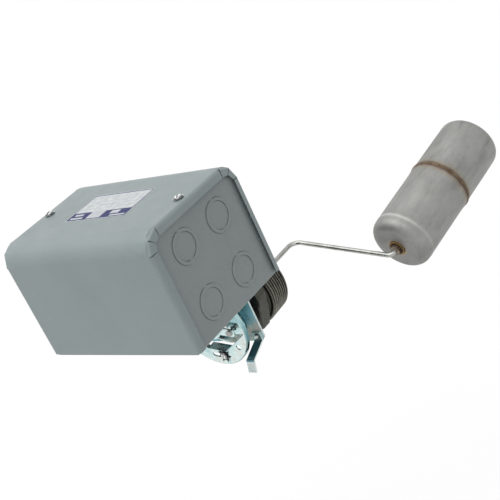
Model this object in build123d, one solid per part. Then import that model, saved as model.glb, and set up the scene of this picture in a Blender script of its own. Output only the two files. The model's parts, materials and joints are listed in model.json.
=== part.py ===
from build123d import *
import os
from math import cos, radians, sin

# Float switch with a pump alternator, for the side of a closed tank.
# Millimetres. The origin is on the shaft axis where the tank thread begins.
# +X points into the tank, +Z is up, and the float arm points along -Y.

# ---------------------------------------------------------------- enclosure
box_width = 127.0            # over the cover's sides, along X
box_length = 185.8           # over the cover's ends, along Y
box_depth = 113.6            # from the chassis's back to the front face, along Z
box_setback = 34.9           # from the thread's start to the cover's near side
box_standoff = 46.2          # from the shaft axis up to the chassis's back
cover_rise = 2.5             # from the chassis's back to the cover's lower edge
sheet = 1.5                  # steel of the cover and the chassis
corner_radius = 17.0         # long corners of the cover
end_flange = 6.6             # width of the cover's inward flange
end_recess = 3.5             # end plate below the flange's outer face
seat_gap = 0.3               # cover to chassis, collar to bearing
relief_slit = 0.8            # slits in the flange round each corner
cover_screw_inset = 10.2     # from the end of the box to the screw
cover_screw_radius = 2.1
screw_clearance = 0.2        # cover's hole round its screw
cover_head_radius = 5.0
tab_width = 26.0             # tab that takes a cover screw
tab_length = 16.0
ground_inset_x = 14.0        # from the cover's side to the ground screw
ground_inset_y = 30.0        # from the box's end to the ground screw

knockout_radius = 15.7       # outer edge of the ring pressed round a knockout
knockout_band = 3.6          # width of that ring
knockout_press = 0.8         # its depth in the end plate
knockout_web = 4.0
knockout_shift = 1.9         # from the box's middle to the knockouts' middle
knockout_pitch_x = 49.0
knockout_pitch_z = 54.8
knockout_low_z = 26.0        # lower row above the chassis's back

screw_head_share = 0.6       # height of a slotted head over its radius
screw_slot_share = 0.24      # width of its slot over its radius
screw_bevel_share = 0.3      # bevel of its rim over its height

# ------------------------------------------------------- bracket and bushing
bracket_thickness = 2.0
bracket_gap = 3.1            # from the cover's side in to the bracket's face
bracket_half_width = 42.0
bracket_drop = 27.0          # from the axis down to the lower edge
bracket_chamfer = 9.0
bracket_flange = 22.0        # horizontal leg under the chassis
bracket_screw_in = 6.0       # from the bracket's back to the first screw
bracket_screw_pitch = 11.0
bracket_screw_spread = 68.0
bracket_bend = 3.0
bracket_bore = 14.5
bracket_nut_height = 2.0

thread_radius = 36.5
thread_length = 24.0
thread_chamfer = 2.0
groove_radius = 28.0
groove_length = 6.0
hex_across_flats = 63.5
hex_length = 14.0
hex_turn = 17.0              # degrees that one flat is turned below -Y
neck_radius = 22.0
bushing_flange_radius = 28.0
bushing_flange = 6.0
front_recess_radius = 27.0
front_recess_depth = 8.0
front_hub_radius = 13.0
front_draft = 2.0            # slope of the recess's two walls
hex_round_share = 0.5635     # turned corner radius over the flats
bolt_circle_radius = 23.5
bolt_radius = 2.5
bolt_head_radius = 3.3
bolt_head_height = 3.0
bolt_reach = 5.0

# --------------------------------------------------------- shaft and packing
shaft_radius = 2.4
running_clearance = 0.05
bearing_radius = 6.0
bearing_length = 14.0
bearing_flange_radius = 9.0
bearing_flange = 1.5
packing_radius = 10.0
packing_ring = 3.2
packing_count = 3
packing_depth = 20.0         # counterbore from the bushing's back face
gland_across_flats = 22.0
gland_head = 6.0
cup_radius = 19.5
cup_wall = 1.5
cup_depth = 8.0
cup_flange = 1.5
collar_radius = 6.5
collar_length = 6.0

# -------------------------------------------------------------- float and arm
rest_droop = 10.47           # degrees that the arm hangs below level at rest
reach_to_bend = 96.3         # along X from the thread's start to the arm
arm_length = 118.4
arm_lean = 2.9               # degrees that the arm leans back to the box
arm_bend_radius = 10.0
float_bend_radius = 6.0
float_stub = 10.6            # from the second bend to the float's end
float_splay = 7.9            # degrees that the float leans outward
float_rise = 14.9            # degrees that the float leans up
float_radius = 31.75
float_length = 157.0
float_wall = 0.9
float_corner = 11.0
float_core_bevel = 8.2       # bevel at the bottom of a cup's inside
arm_swing = 25.0             # degrees that the arm turns each way from level
weld_position = 0.552        # share of the float's length
weld_gap = 1.2
weld_width = 3.4
weld_height = 1.0
boss_across_flats = 11.0
boss_height = 2.7
boss_pad_radius = 8.5
boss_pad = 1.0

# -------------------------------------------------------------- operating disc
disc_setback = 58.0          # from the thread's start back to the disc
disc_radius = 40.6
disc_sheet = 1.5
disc_lip = 3.5
disc_bevel = 1.0
rim_width = 2.5              # ring left beside the window
window_floor = 23.5
window_floor_width = 22.0
window_side_z = 2.5
window_top_z = 14.0
window_flange = 1.4
window_flange_depth = 3.4
window_lip_depth = 9.0       # deeper lip along the window's floor
window_corner = 4.0
hub_web_radius = 10.5
hub_web_width = 14.0
drive_arm_width = 8.0
drive_arm_reach = 28.0
drive_radius = 22.0
drive_pin_radius = 2.0
drive_head_radius = 3.2
light_hole_radius = 2.8
light_hole_y = 28.0
light_hole_z = 15.6
clamp_radius = 29.6
clamp_turn = 14.7            # degrees from the disc's centre line
clamp_slot_width = 4.4
clamp_slot_sweep = 24.0
clamp_screw_radius = 1.9
clamp_head_radius = 3.4
star_radius = 6.6
star_core_share = 0.72       # full ring of the star washer over its radius
star_points = 8
star_tooth = 3.2             # width of a tooth at its root
star_thickness = 0.9
hub_radius = 8.0
hub_length = 9.0
hub_screw_radius = 2.0
hub_screw_reach = 3.0        # head of the set screw above the hub
hub_bevel = 0.8
shaft_tail = 2.0

# -------------------------------------------------------------------- strap
strap_width = 9.6
strap_thickness = 1.5
strap_y = -34.5
strap_screw_z = -21.0
strap_pad = 9.0
strap_out = 22.0
strap_fall = 8.1
strap_tip = 11.2
strap_tip_lean = 3.6
strap_hole_radius = 1.0
strap_hole_rise = 2.6        # from the tip's end to its hole
strap_screw_radius = 1.8
strap_head_radius = 3.3

# --------------------------------------------------- yoke, beam and contacts
yoke_thickness = 2.0
yoke_gap = 3.2               # from the disc's lip to the yoke
yoke_width = 11.0
yoke_foot_width = 17.0
yoke_foot_height = 14.0
yoke_foot_corner = 3.0
slot_clearance = 0.3
slot_play = 0.5
shelf_height = 7.0           # above the chassis floor at rest
shelf_width = 14.0
shelf_neck = 8.0             # wide part of the shelf beside the leg
shelf_tail = 2.0             # shelf beyond the far ear
ear_gap = 0.3
ear_thickness = 2.0
ear_radius = 6.0
beam_pin_height = 8.5        # above the shelf
beam_pin_radius = 2.0
beam_pin_head = 3.2          # radius of the pin's heads
beam_head = 1.0              # thickness of the pin's heads
beam_thickness = 7.0
beam_hub_radius = 6.0
beam_end_radius = 3.5
window_margin_x = 1.2        # chassis window round the yoke's leg
window_margin_y = 1.5
guide_height = 13.0
guide_wall = 4.0
guide_front_wall = 2.2
guide_low_z = 30.0
guide_clearance = 0.3
guide_bevel = 1.5

switch_inset = 50.9          # from the box's end to a switch unit's middle
block_margin = 35.0          # from the cover's side to a contact block
block_length = 44.0
block_height = 16.0
block_low = 58.7             # underside above the chassis floor
block_wall = 5.0
block_foot = 8.0
block_foot_height = 4.0
barrier_height = 8.0
barrier_width = 2.5
barrier_bevel = 2.0
pole_pitch = 24.0
contact_inset = 10.5         # from the block's side to a contact
contact_radius = 3.2
contact_height = 1.3
rivet_radius = 2.0
terminal_size = 9.0
terminal_thickness = 1.2
terminal_offset = 5.0        # screw outward of the rivet
terminal_screw_radius = 1.8
terminal_head_radius = 3.4
terminal_screw_depth = 5.0
block_screw_radius = 1.9
block_head_radius = 3.6

stem_size = 8.0
stem_clearance = 0.25
stem_top = 71.5              # above the chassis floor
nose_gap = 0.3
carrier_low = 25.5           # arm's underside above the chassis floor
carrier_height = 6.0
carrier_reach = 17.5
carrier_width = 10.0
bridge_overhang = 3.5        # bridge beyond a contact's middle
bridge_width = 9.0
bridge_thickness = 1.5
bridge_tip_height = 1.2
bridge_bevel = 1.5
post_rise = 0.6              # spring post above the bridge
spring_radius = 3.2
spring_wire = 0.7
spring_height = 6.5
spring_post_radius = 1.5

chassis_screw_radius = 2.1
chassis_head_radius = 3.8
screw_end = 1.0              # screw beyond the last thing it holds
ground_screw_radius = 2.4
ground_head_radius = 5.0
ground_head_height = 3.4
ground_washer = 1.0

# ------------------------------------------------------------ worked-out places
box_near_x = -box_setback
box_mid_x = box_near_x - box_width / 2
box_top_z = box_standoff + box_depth
box_half_length = box_length / 2
chassis_inset = sheet + seat_gap
plate_face_y = box_half_length - end_recess
floor_z = box_standoff + sheet
screw_y = box_half_length - cover_screw_inset
tab_top_z = box_top_z - sheet - seat_gap
cover_foot_z = box_standoff + cover_rise
knockout_x = box_mid_x + knockout_shift
knockout_z = box_standoff + knockout_low_z
ground_place = (box_near_x - ground_inset_x, box_half_length - ground_inset_y)

bracket_face_x = box_near_x - bracket_gap
bracket_back_x = bracket_face_x - bracket_thickness
cup_face_x = bracket_back_x - cup_flange
shoulder_x = -thread_chamfer
hex_face_x = shoulder_x - groove_length
neck_face_x = hex_face_x - hex_length
thread_end_x = thread_length + thread_chamfer
packing_end_x = bracket_face_x + packing_depth
packing_start_x = packing_end_x - packing_ring * packing_count
shaft_bore = shaft_radius + running_clearance

disc_face_x = -disc_setback
disc_front_x = disc_face_x - disc_sheet
lip_end_x = disc_face_x + disc_lip
yoke_front_x = lip_end_x + yoke_gap
yoke_back_x = yoke_front_x + yoke_thickness
hub_front_x = disc_front_x - hub_length
shaft_start_x = hub_front_x - shaft_tail

pin_y = -drive_radius * cos(radians(rest_droop))
pin_z = -drive_radius * sin(radians(rest_droop))
beam_x = box_mid_x
switch_y = box_half_length - switch_inset
block_half_width = box_width / 2 - block_margin
contact_x = block_half_width - contact_inset
shelf_z = floor_z + shelf_height
beam_pin_z = shelf_z + yoke_thickness + beam_pin_height
ear_inner = beam_thickness / 2 + ear_gap
nose_z = beam_pin_z + beam_end_radius + nose_gap
block_z = floor_z + block_low
block_top_z = block_z + block_height
carrier_z = floor_z + carrier_low
carrier_top_z = carrier_z + carrier_height
bridge_z = carrier_top_z + spring_height
stem_top_z = floor_z + stem_top

level_to_rest = Rot(X=rest_droop)

os.makedirs("parts", exist_ok=True)


# --------------------------------------------------------------------- helpers
def save(shape, node):
    shape.label = node
    export_step(shape, f"parts/{node}.step")


def block(x0, x1, y0, y1, z0, z1):
    middle = Pos((x0 + x1) / 2, (y0 + y1) / 2, (z0 + z1) / 2)
    return middle * Box(abs(x1 - x0), abs(y1 - y0), abs(z1 - z0))


def bar_x(profile, x0, x1):
    """Extrude a profile drawn in (Y, Z) from x0 to x1."""
    return extrude(Plane.YZ.offset(x0) * profile, amount=x1 - x0)


def round_x(radius, x0, x1, y=0.0, z=0.0):
    return bar_x(Pos(y, z) * Circle(radius), x0, x1)


def round_z(radius, z0, z1, x, y):
    return extrude(Plane.XY.offset(z0) * Pos(x, y) * Circle(radius), amount=z1 - z0)


def slotted_screw(head_radius, shank_radius, grip):
    """A slotted screw along Z: its head stands on Z = 0."""
    height = head_radius * screw_head_share
    bevel = height * screw_bevel_share
    head = extrude(Circle(head_radius), amount=height)
    head = chamfer(head.edges().group_by(Axis.Z)[-1], bevel)
    slot = Pos(0, 0, height) * Box(3 * head_radius, head_radius * screw_slot_share, height)
    shank = extrude(Circle(shank_radius), amount=-grip)
    return head - slot + shank


def hex_x(across_flats, x0, x1, turn=0.0):
    flats = RegularPolygon(across_flats / 2, 6, major_radius=False)
    return bar_x(Rot(Z=turn) * flats, x0, x1)


def gather(solids):
    return Compound(children=list(solids))


# ------------------------------------------------------------------- enclosure
def arch(inset, foot_z):
    """The box's end outline, moved inward: rounded above, square below."""
    top_z = box_top_z - inset
    outline = Rectangle(box_width - 2 * inset, top_z - foot_z)
    outline = fillet(outline.vertices().group_by(Axis.Y)[-1], corner_radius - inset)
    return Plane.XZ * Pos(box_mid_x, (top_z + foot_z) / 2) * outline


def flange_slits():
    """Radial reliefs where the flange goes round the two long corners."""
    arc_x = box_width / 2 - corner_radius
    arc_z = box_top_z - corner_radius
    inner = corner_radius - end_flange - relief_slit
    outer = corner_radius - sheet
    slit = Pos((inner + outer) / 2, 0, 0) * Box(outer - inner, 2 * box_length, relief_slit)
    slits = []
    for side in (-1, 1):
        middle = Pos(box_mid_x + side * arc_x, 0, arc_z)
        for turn in (0, 45, 90):
            angle = -turn if side > 0 else turn - 180
            slits.append(middle * Rot(Y=angle) * slit)
    return slits


def make_cover():
    below = box_standoff - box_depth
    shell = extrude(arch(0, cover_foot_z), amount=box_half_length, both=True)
    shell -= extrude(arch(sheet, below), amount=box_half_length - sheet, both=True)
    shell -= extrude(arch(end_flange, below), amount=box_length, both=True)
    shell -= flange_slits()
    hole = cover_screw_radius + screw_clearance
    for end in (-1, 1):
        shell -= round_z(hole, box_top_z - 2 * sheet, box_top_z + 1, box_mid_x, end * screw_y)
    return shell


def knockout_ring(x, z):
    """A ring pressed into both end plates, with two webs across it."""
    ring = Circle(knockout_radius) - Circle(knockout_radius - knockout_band)
    ring -= Rectangle(knockout_web, knockout_radius * 3)
    bars = extrude(Plane.XZ * Pos(x, z) * ring, amount=box_length, both=True)
    pressed_y = plate_face_y - knockout_press
    return bars - block(x - box_width, x + box_width, -pressed_y, pressed_y, 0, box_top_z)


def yoke_window(z0, z1):
    """The opening that the yoke's leg passes through."""
    half = yoke_width / 2 + window_margin_y
    x0 = yoke_front_x - window_margin_x
    x1 = yoke_back_x + window_margin_x
    return block(x0, x1, pin_y - half, pin_y + half, z0, z1)


def floor_holes():
    """Where the bracket, the contact blocks and the ground screw go through."""
    spots = [(chassis_screw_radius, x, y) for x, y in bracket_screw_places()]
    spots += [(block_screw_radius, x, y) for x, y in block_screw_places()]
    spots.append((ground_screw_radius, *ground_place))
    return [round_z(radius, box_standoff - 1, floor_z + 1, x, y) for radius, x, y in spots]


def make_chassis():
    """A floor and two end plates bent from one sheet, each with a screw tab."""
    inner_y = plate_face_y - sheet
    x_far = box_mid_x - box_width
    x_near = box_mid_x + box_width
    chassis = extrude(arch(chassis_inset, box_standoff), amount=plate_face_y, both=True)
    chassis -= block(x_far, x_near, -inner_y, inner_y, floor_z, box_top_z)
    bends = chassis.edges().filter_by(Axis.X).group_by(Axis.Z)[0]
    chassis = fillet(bends, sheet)
    tab_x0 = box_mid_x - tab_width / 2
    tab_x1 = box_mid_x + tab_width / 2
    tab_low = tab_top_z - sheet
    hole = cover_screw_radius + running_clearance
    for end in (-1, 1):
        tip_y = end * (inner_y - tab_length)
        chassis += block(tab_x0, tab_x1, end * inner_y, tip_y, tab_low, tab_top_z)
        chassis -= round_z(hole, tab_low - 1, tab_top_z + 1, box_mid_x, end * screw_y)
    for x in (knockout_x - knockout_pitch_x / 2, knockout_x + knockout_pitch_x / 2):
        for z in (knockout_z, knockout_z + knockout_pitch_z):
            chassis -= knockout_ring(x, z)
    chassis -= yoke_window(box_standoff - 1, floor_z + 1)
    return chassis - floor_holes()


def make_cover_screws():
    grip = 2 * sheet + seat_gap + screw_end
    screw = slotted_screw(cover_head_radius, cover_screw_radius, grip)
    near = Pos(box_mid_x, -screw_y, box_top_z) * Rot(Z=35) * screw
    far = Pos(box_mid_x, screw_y, box_top_z) * Rot(Z=20) * screw
    return gather([near, far])


def make_ground_screw():
    washer = extrude(Circle(ground_head_radius + ground_washer), amount=ground_washer)
    flats = RegularPolygon(ground_head_radius, 6)
    head = Pos(0, 0, ground_washer) * extrude(flats, amount=ground_head_height)
    shank = extrude(Circle(ground_screw_radius), amount=-2 * sheet)
    return Pos(*ground_place, floor_z) * (washer + head + shank)


# --------------------------------------------------------- bracket and bushing
def bracket_screw_places():
    first_x = bracket_back_x - bracket_screw_in
    half = bracket_screw_spread / 2
    return [(x, y) for x in (first_x, first_x - bracket_screw_pitch) for y in (-half, half)]


def bolt_places():
    spots = []
    for turn in (45, 135, 225, 315):
        y = bolt_circle_radius * cos(radians(turn))
        z = bolt_circle_radius * sin(radians(turn))
        spots.append((y, z))
    return spots


def make_bracket():
    """An angle: an upright plate and a leg under the chassis."""
    y1 = bracket_half_width
    corner = bracket_chamfer / 2
    side = Polyline(
        (-y1, box_standoff),
        (y1, box_standoff),
        (y1, bracket_chamfer - bracket_drop),
        (y1 - bracket_chamfer, -bracket_drop),
        (corner - y1, -bracket_drop),
        (-y1, corner - bracket_drop),
        close=True,
    )
    leg_x = bracket_back_x - bracket_flange
    leg_z = box_standoff - bracket_thickness
    bracket = bar_x(make_face(side), bracket_back_x, bracket_face_x)
    bracket += block(leg_x, bracket_face_x, -y1, y1, leg_z, box_standoff)
    top_edges = bracket.edges().filter_by(Axis.Y).group_by(Axis.Z)[-1]
    bracket = fillet(top_edges.sort_by(Axis.X)[-1], bracket_bend)

    through = (bracket_back_x - 1, bracket_face_x + 1)
    bracket -= round_x(bracket_bore, *through)
    bracket -= round_x(strap_screw_radius, *through, strap_y, strap_screw_z)
    for y, z in bolt_places():
        bracket -= round_x(bolt_radius, *through, y, z)
    for x, y in bracket_screw_places():
        bracket -= round_z(chassis_screw_radius, leg_z - 1, box_standoff + 1, x, y)
    return bracket - yoke_window(leg_z - 1, box_standoff + 1)


def make_bracket_screws():
    grip = bracket_thickness + sheet + bracket_nut_height
    screw = slotted_screw(chassis_head_radius, chassis_screw_radius, grip)
    leg_z = box_standoff - bracket_thickness
    return gather(Pos(x, y, leg_z) * Rot(X=180) * screw for x, y in bracket_screw_places())


def make_bracket_nuts():
    flats = RegularPolygon(chassis_head_radius, 6) - Circle(chassis_screw_radius)
    nut = extrude(flats, amount=bracket_nut_height)
    return gather(Pos(x, y, floor_z) * nut for x, y in bracket_screw_places())


def make_bushing():
    """A turned and hexagonal casting with a recessed face to the tank."""
    recess_x = thread_end_x - front_recess_depth
    outline = Polyline(
        (bracket_face_x, 0),
        (bracket_face_x, bushing_flange_radius),
        (bracket_face_x + bushing_flange, bushing_flange_radius),
        (bracket_face_x + bushing_flange, neck_radius),
        (neck_face_x, neck_radius),
        (neck_face_x, groove_radius),
        (shoulder_x, groove_radius),
        (shoulder_x, thread_radius - thread_chamfer),
        (0, thread_radius),
        (thread_length, thread_radius),
        (thread_end_x, thread_radius - thread_chamfer),
        (thread_end_x, front_recess_radius),
        (recess_x, front_recess_radius - front_draft),
        (recess_x, front_hub_radius + front_draft),
        (thread_end_x, front_hub_radius),
        (thread_end_x, 0),
        close=True,
    )
    body = revolve(make_face(outline), axis=Axis.X)
    flats = hex_x(hex_across_flats, neck_face_x, hex_face_x, hex_turn)
    body += flats & round_x(hex_across_flats * hex_round_share, neck_face_x, hex_face_x)
    body -= round_x(bearing_radius, bracket_face_x - 1, thread_end_x + 1)
    body -= round_x(packing_radius, bracket_face_x - 1, packing_end_x)
    for y, z in bolt_places():
        body -= round_x(bolt_radius, bracket_face_x - 1, bracket_face_x + bolt_reach, y, z)
    return body


def make_bushing_bolts():
    head_x = cup_face_x - bolt_head_height
    bolts = []
    for y, z in bolt_places():
        head = round_x(bolt_head_radius, head_x, cup_face_x, y, z)
        bolts.append(head + round_x(bolt_radius, cup_face_x, bracket_face_x + bolt_reach, y, z))
    return gather(bolts)


def make_bearing_cup():
    """Pressed ring that shields the packing nut."""
    rim_x = bracket_back_x - cup_depth
    cup = round_x(bushing_flange_radius, cup_face_x, bracket_back_x)
    cup += round_x(cup_radius, rim_x, bracket_back_x)
    cup -= round_x(cup_radius - cup_wall, rim_x - 1, bracket_back_x + 1)
    for y, z in bolt_places():
        cup -= round_x(bolt_radius, cup_face_x - 1, bracket_back_x + 1, y, z)
    return cup


def make_inner_bearing():
    x1 = packing_end_x + bearing_length
    bearing = round_x(bearing_radius, packing_end_x, x1)
    return bearing - round_x(shaft_bore, packing_end_x - 1, x1 + 1)


def make_outer_bearing():
    x0 = thread_end_x - bearing_length
    x1 = thread_end_x + bearing_flange
    bearing = round_x(bearing_radius, x0, thread_end_x)
    bearing += round_x(bearing_flange_radius, thread_end_x, x1)
    return bearing - round_x(shaft_bore, x0 - 1, x1 + 1)


def make_packing():
    profile = Circle(packing_radius) - Circle(shaft_bore)
    rings = []
    for index in range(packing_count):
        x0 = packing_start_x + index * packing_ring
        rings.append(bar_x(profile, x0, x0 + packing_ring))
    return gather(rings)


def make_gland_nut():
    head_x = bracket_back_x - gland_head
    nut = hex_x(gland_across_flats, head_x, bracket_face_x)
    nut += round_x(packing_radius, bracket_face_x, packing_start_x)
    return nut - round_x(shaft_bore, head_x - 1, packing_start_x + 1)


# ------------------------------------------------------------------- float arm
def rod_bends():
    """The two bends in the level position: off the shaft, and at the float."""
    lean = radians(arm_lean)
    first = Vector(reach_to_bend, 0, 0)
    second = first + Vector(-sin(lean), -cos(lean), 0) * arm_length
    return first, second


def float_plane():
    """Level-position plane of the float's rod end, its normal along the float."""
    splay = radians(float_splay)
    rise = radians(float_rise)
    along = Vector(cos(rise) * cos(splay), -cos(rise) * sin(splay), sin(rise))
    return Plane(origin=rod_bends()[1] + along * float_stub, z_dir=along)


def make_shaft_rod():
    """One bent rod: shaft, arm and the stub that enters the float's boss."""
    face = float_plane()
    first, second = rod_bends()
    start = Vector(shaft_start_x, 0, 0)
    end = face.origin - face.z_dir * boss_pad
    bends = (arm_bend_radius, float_bend_radius)
    path = FilletPolyline(start, first, second, end, radius=bends)
    section = Plane.YZ.offset(shaft_start_x) * Circle(shaft_radius)
    return level_to_rest * sweep(section, path=path)


def place_on_float(shape, along=0.0):
    return level_to_rest * float_plane().offset(along).location * shape


def cup_shell(length):
    """A drawn cup: closed at Z = 0, open at Z = length."""
    outer = extrude(Circle(float_radius), amount=length)
    outer = fillet(outer.edges().group_by(Axis.Z)[0], float_corner)
    core = Pos(0, 0, float_wall) * extrude(Circle(float_radius - float_wall), amount=length)
    core = chamfer(core.edges().group_by(Axis.Z)[0], float_core_bevel)
    return outer - core


def make_rod_side_cup():
    return place_on_float(cup_shell(float_length * weld_position - weld_gap / 2))


def make_far_cup():
    length = float_length * (1 - weld_position) - weld_gap / 2
    return place_on_float(Rot(X=180) * cup_shell(length), float_length)


def make_float_weld():
    """The bead: a root between the cups and a low crown over the joint."""
    outline = Polyline(
        (float_radius - float_wall, -weld_gap / 2),
        (float_radius, -weld_gap / 2),
        (float_radius, -weld_width / 2),
        (float_radius + weld_height, -weld_width / 4),
        (float_radius + weld_height, weld_width / 4),
        (float_radius, weld_width / 2),
        (float_radius, weld_gap / 2),
        (float_radius - float_wall, weld_gap / 2),
        close=True,
    )
    bead = revolve(Plane.XZ * make_face(outline), axis=Axis.Z)
    return place_on_float(bead, float_length * weld_position)


def make_float_boss():
    flats = RegularPolygon(boss_across_flats / 2, 6, major_radius=False)
    pad = extrude(Circle(boss_pad_radius), amount=-boss_pad)
    boss = Pos(0, 0, -boss_pad) * extrude(flats - Circle(shaft_bore), amount=-boss_height)
    return place_on_float(pad + boss)


def make_thrust_collar():
    x0 = thread_end_x + bearing_flange + seat_gap
    collar = bar_x(Circle(collar_radius) - Circle(shaft_bore), x0, x0 + collar_length)
    return level_to_rest * collar


# -------------------------------------------------------------- operating disc
def window_outline():
    half = window_floor_width / 2
    side = disc_radius
    outline = Polyline(
        (-half, -window_floor),
        (half, -window_floor),
        (side, window_side_z),
        (side, window_top_z),
        (-side, window_top_z),
        (-side, window_side_z),
        close=True,
    )
    face = make_face(outline)
    return fillet(face.vertices().group_by(Axis.Y)[0], window_corner)


def make_disc():
    """A dished ring with a hub web, a drive arm and a flanged window."""
    dish = round_x(disc_radius, disc_front_x, lip_end_x)
    dish = chamfer(dish.edges().group_by(Axis.X)[0], disc_bevel)
    dish -= round_x(disc_radius - disc_sheet, disc_face_x, lip_end_x + 1)

    window = window_outline() & Circle(disc_radius - rim_width)
    keep = Circle(hub_web_radius)
    keep += Pos(0, window_top_z / 2) * Rectangle(hub_web_width, window_top_z)
    reach = drive_arm_reach - drive_arm_width / 2
    keep += Pos(-reach / 2, 0) * SlotCenterToCenter(reach, drive_arm_width)
    through = (disc_front_x - 1, disc_face_x + 1)
    dish -= bar_x(window - keep, *through)

    edge = offset(window_outline(), window_flange) - window_outline()
    edge &= Pos(0, -disc_radius / 2) * Rectangle(disc_radius * 2, disc_radius)
    edge &= Circle(disc_radius - disc_sheet)
    dish += bar_x(edge, disc_face_x - disc_sheet / 2, disc_face_x + window_flange_depth)
    lip = edge & Pos(0, -window_floor) * Rectangle(window_floor_width, 2 * window_flange)
    dish += bar_x(lip, disc_face_x, disc_face_x + window_lip_depth)

    for side in (-1, 1):
        dish -= round_x(light_hole_radius, *through, side * light_hole_y, -light_hole_z)
    sweep_arc = CenterArc((0, 0), clamp_radius, -90.0 - clamp_turn, clamp_slot_sweep)
    dish -= bar_x(SlotArc(sweep_arc, clamp_slot_width), *through)
    dish -= round_x(shaft_bore, *through)
    dish -= round_x(drive_pin_radius, *through, -drive_radius)
    return level_to_rest * dish


def make_disc_hub():
    middle_x = (hub_front_x + disc_front_x) / 2
    hub = round_x(hub_radius, hub_front_x, disc_front_x)
    hub = chamfer(hub.edges().group_by(Axis.X)[0], hub_bevel)
    hub -= round_x(shaft_bore, hub_front_x - 1, disc_front_x + 1)
    hub -= round_z(hub_screw_radius, 0, hub_radius + 1, middle_x, 0)
    return level_to_rest * hub


def make_hub_screw():
    top = hub_radius + hub_screw_reach
    half = hub_screw_radius * screw_slot_share
    middle_x = (hub_front_x + disc_front_x) / 2
    screw = round_z(hub_screw_radius, shaft_radius, top, middle_x, 0)
    screw -= block(middle_x - half, middle_x + half, -top, top, top - hub_screw_radius / 2, top + 1)
    return level_to_rest * screw


def make_drive_pin():
    pin = round_x(drive_pin_radius, disc_front_x, yoke_back_x + screw_end, -drive_radius)
    pin += round_x(drive_head_radius, disc_front_x - disc_sheet, disc_front_x, -drive_radius)
    return level_to_rest * pin


def clamp_place():
    turn = radians(clamp_turn)
    return -clamp_radius * sin(turn), -clamp_radius * cos(turn)


def make_star_washer():
    half = star_tooth / 2
    tooth = make_face(Polyline((0, -half), (star_radius, 0), (0, half), close=True))
    star = Circle(star_radius * star_core_share)
    for index in range(star_points):
        star += Rot(Z=index * 360 / star_points) * tooth
    star -= Circle(clamp_screw_radius)
    y, z = clamp_place()
    return level_to_rest * bar_x(Pos(y, z) * star, disc_front_x - star_thickness, disc_front_x)


def make_clamp_screw():
    y, z = clamp_place()
    grip = star_thickness + disc_sheet + screw_end
    screw = slotted_screw(clamp_head_radius, clamp_screw_radius, grip)
    seat = Pos(disc_front_x - star_thickness, y, z) * Rot(Y=-90) * Rot(Z=70)
    return level_to_rest * seat * screw


# ----------------------------------------------------------------------- strap
def make_strap():
    """A bent strap whose drilled tip stands beside the disc's rim."""
    pad_x = bracket_back_x - strap_thickness / 2
    pad_z = strap_screw_z - strap_pad / 2
    bend_x = bracket_back_x - strap_out
    bend_z = pad_z - strap_fall
    tip_x = bend_x - strap_tip_lean
    tip_z = bend_z - strap_tip
    centre = Polyline(
        (pad_x, strap_screw_z + strap_pad / 2),
        (pad_x, pad_z),
        (bend_x, bend_z),
        (tip_x, tip_z),
    )
    ribbon = trace(centre, strap_thickness)
    strap = extrude(Plane.XZ.offset(-strap_y) * ribbon, amount=strap_width / 2, both=True)
    screw_hole = (bracket_back_x - 2 * strap_thickness, bracket_back_x + 1)
    strap -= round_x(strap_screw_radius, *screw_hole, strap_y, strap_screw_z)
    tip_hole = (tip_x - strap_tip_lean, tip_x + strap_tip_lean)
    return strap - round_x(strap_hole_radius, *tip_hole, strap_y, tip_z + strap_hole_rise)


def make_strap_screw():
    grip = strap_thickness + bracket_thickness + screw_end
    screw = slotted_screw(strap_head_radius, strap_screw_radius, grip)
    seat = Pos(bracket_back_x - strap_thickness, strap_y, strap_screw_z)
    return seat * Rot(Y=-90) * Rot(Z=40) * screw


# --------------------------------------------------------------- yoke and beam
def yoke_slot():
    """The drive pin's path across the foot, with its play."""
    swing = drive_radius * (1 - cos(radians(arm_swing)))
    width = swing + 2 * drive_pin_radius + 2 * slot_play
    height = 2 * (drive_pin_radius + slot_clearance)
    return Pos(swing / 2 - drive_radius, pin_z) * SlotOverall(width, height)


def make_yoke():
    """A bent strap: slotted foot, leg through the chassis, shelf and two ears."""
    half = yoke_width / 2
    shelf_top = shelf_z + yoke_thickness
    foot = RectangleRounded(yoke_foot_width, yoke_foot_height, yoke_foot_corner)
    leg = Rectangle(yoke_width, shelf_top - pin_z)
    upright = Pos(pin_y, pin_z) * foot
    upright += Pos(pin_y, (pin_z + shelf_top) / 2) * leg
    yoke = bar_x(upright - yoke_slot(), yoke_front_x, yoke_back_x)

    neck_x = yoke_front_x - shelf_neck
    tail_x = beam_x - ear_inner - ear_thickness - shelf_tail
    shelf_y = shelf_width / 2
    yoke += block(neck_x, yoke_back_x, pin_y - half, shelf_y, shelf_z, shelf_top)
    yoke += block(tail_x, yoke_front_x, -shelf_y, shelf_y, shelf_z, shelf_top)

    plate = Pos(0, (shelf_top + beam_pin_z) / 2) * Rectangle(2 * ear_radius, beam_pin_height)
    plate += Pos(0, beam_pin_z) * Circle(ear_radius)
    plate -= Pos(0, beam_pin_z) * Circle(beam_pin_radius)
    for x in (beam_x - ear_inner - ear_thickness, beam_x + ear_inner):
        yoke += bar_x(plate, x, x + ear_thickness)
    return yoke


def make_beam_pin():
    reach = ear_inner + ear_thickness
    pin = round_x(beam_pin_radius, beam_x - reach, beam_x + reach, 0, beam_pin_z)
    for x in (beam_x - reach - beam_head, beam_x + reach):
        pin += round_x(beam_pin_head, x, x + beam_head, 0, beam_pin_z)
    return pin


def make_beam():
    """The walking beam that tips to choose which switch leads."""
    rounds = [CenterArc((0, beam_pin_z), beam_hub_radius, 0, 360)]
    for side in (-1, 1):
        rounds.append(CenterArc((side * switch_y, beam_pin_z), beam_end_radius, 0, 360))
    web = make_hull(rounds)
    web -= Pos(0, beam_pin_z) * Circle(beam_pin_radius + running_clearance)
    return bar_x(web, beam_x - beam_thickness / 2, beam_x + beam_thickness / 2)


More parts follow.
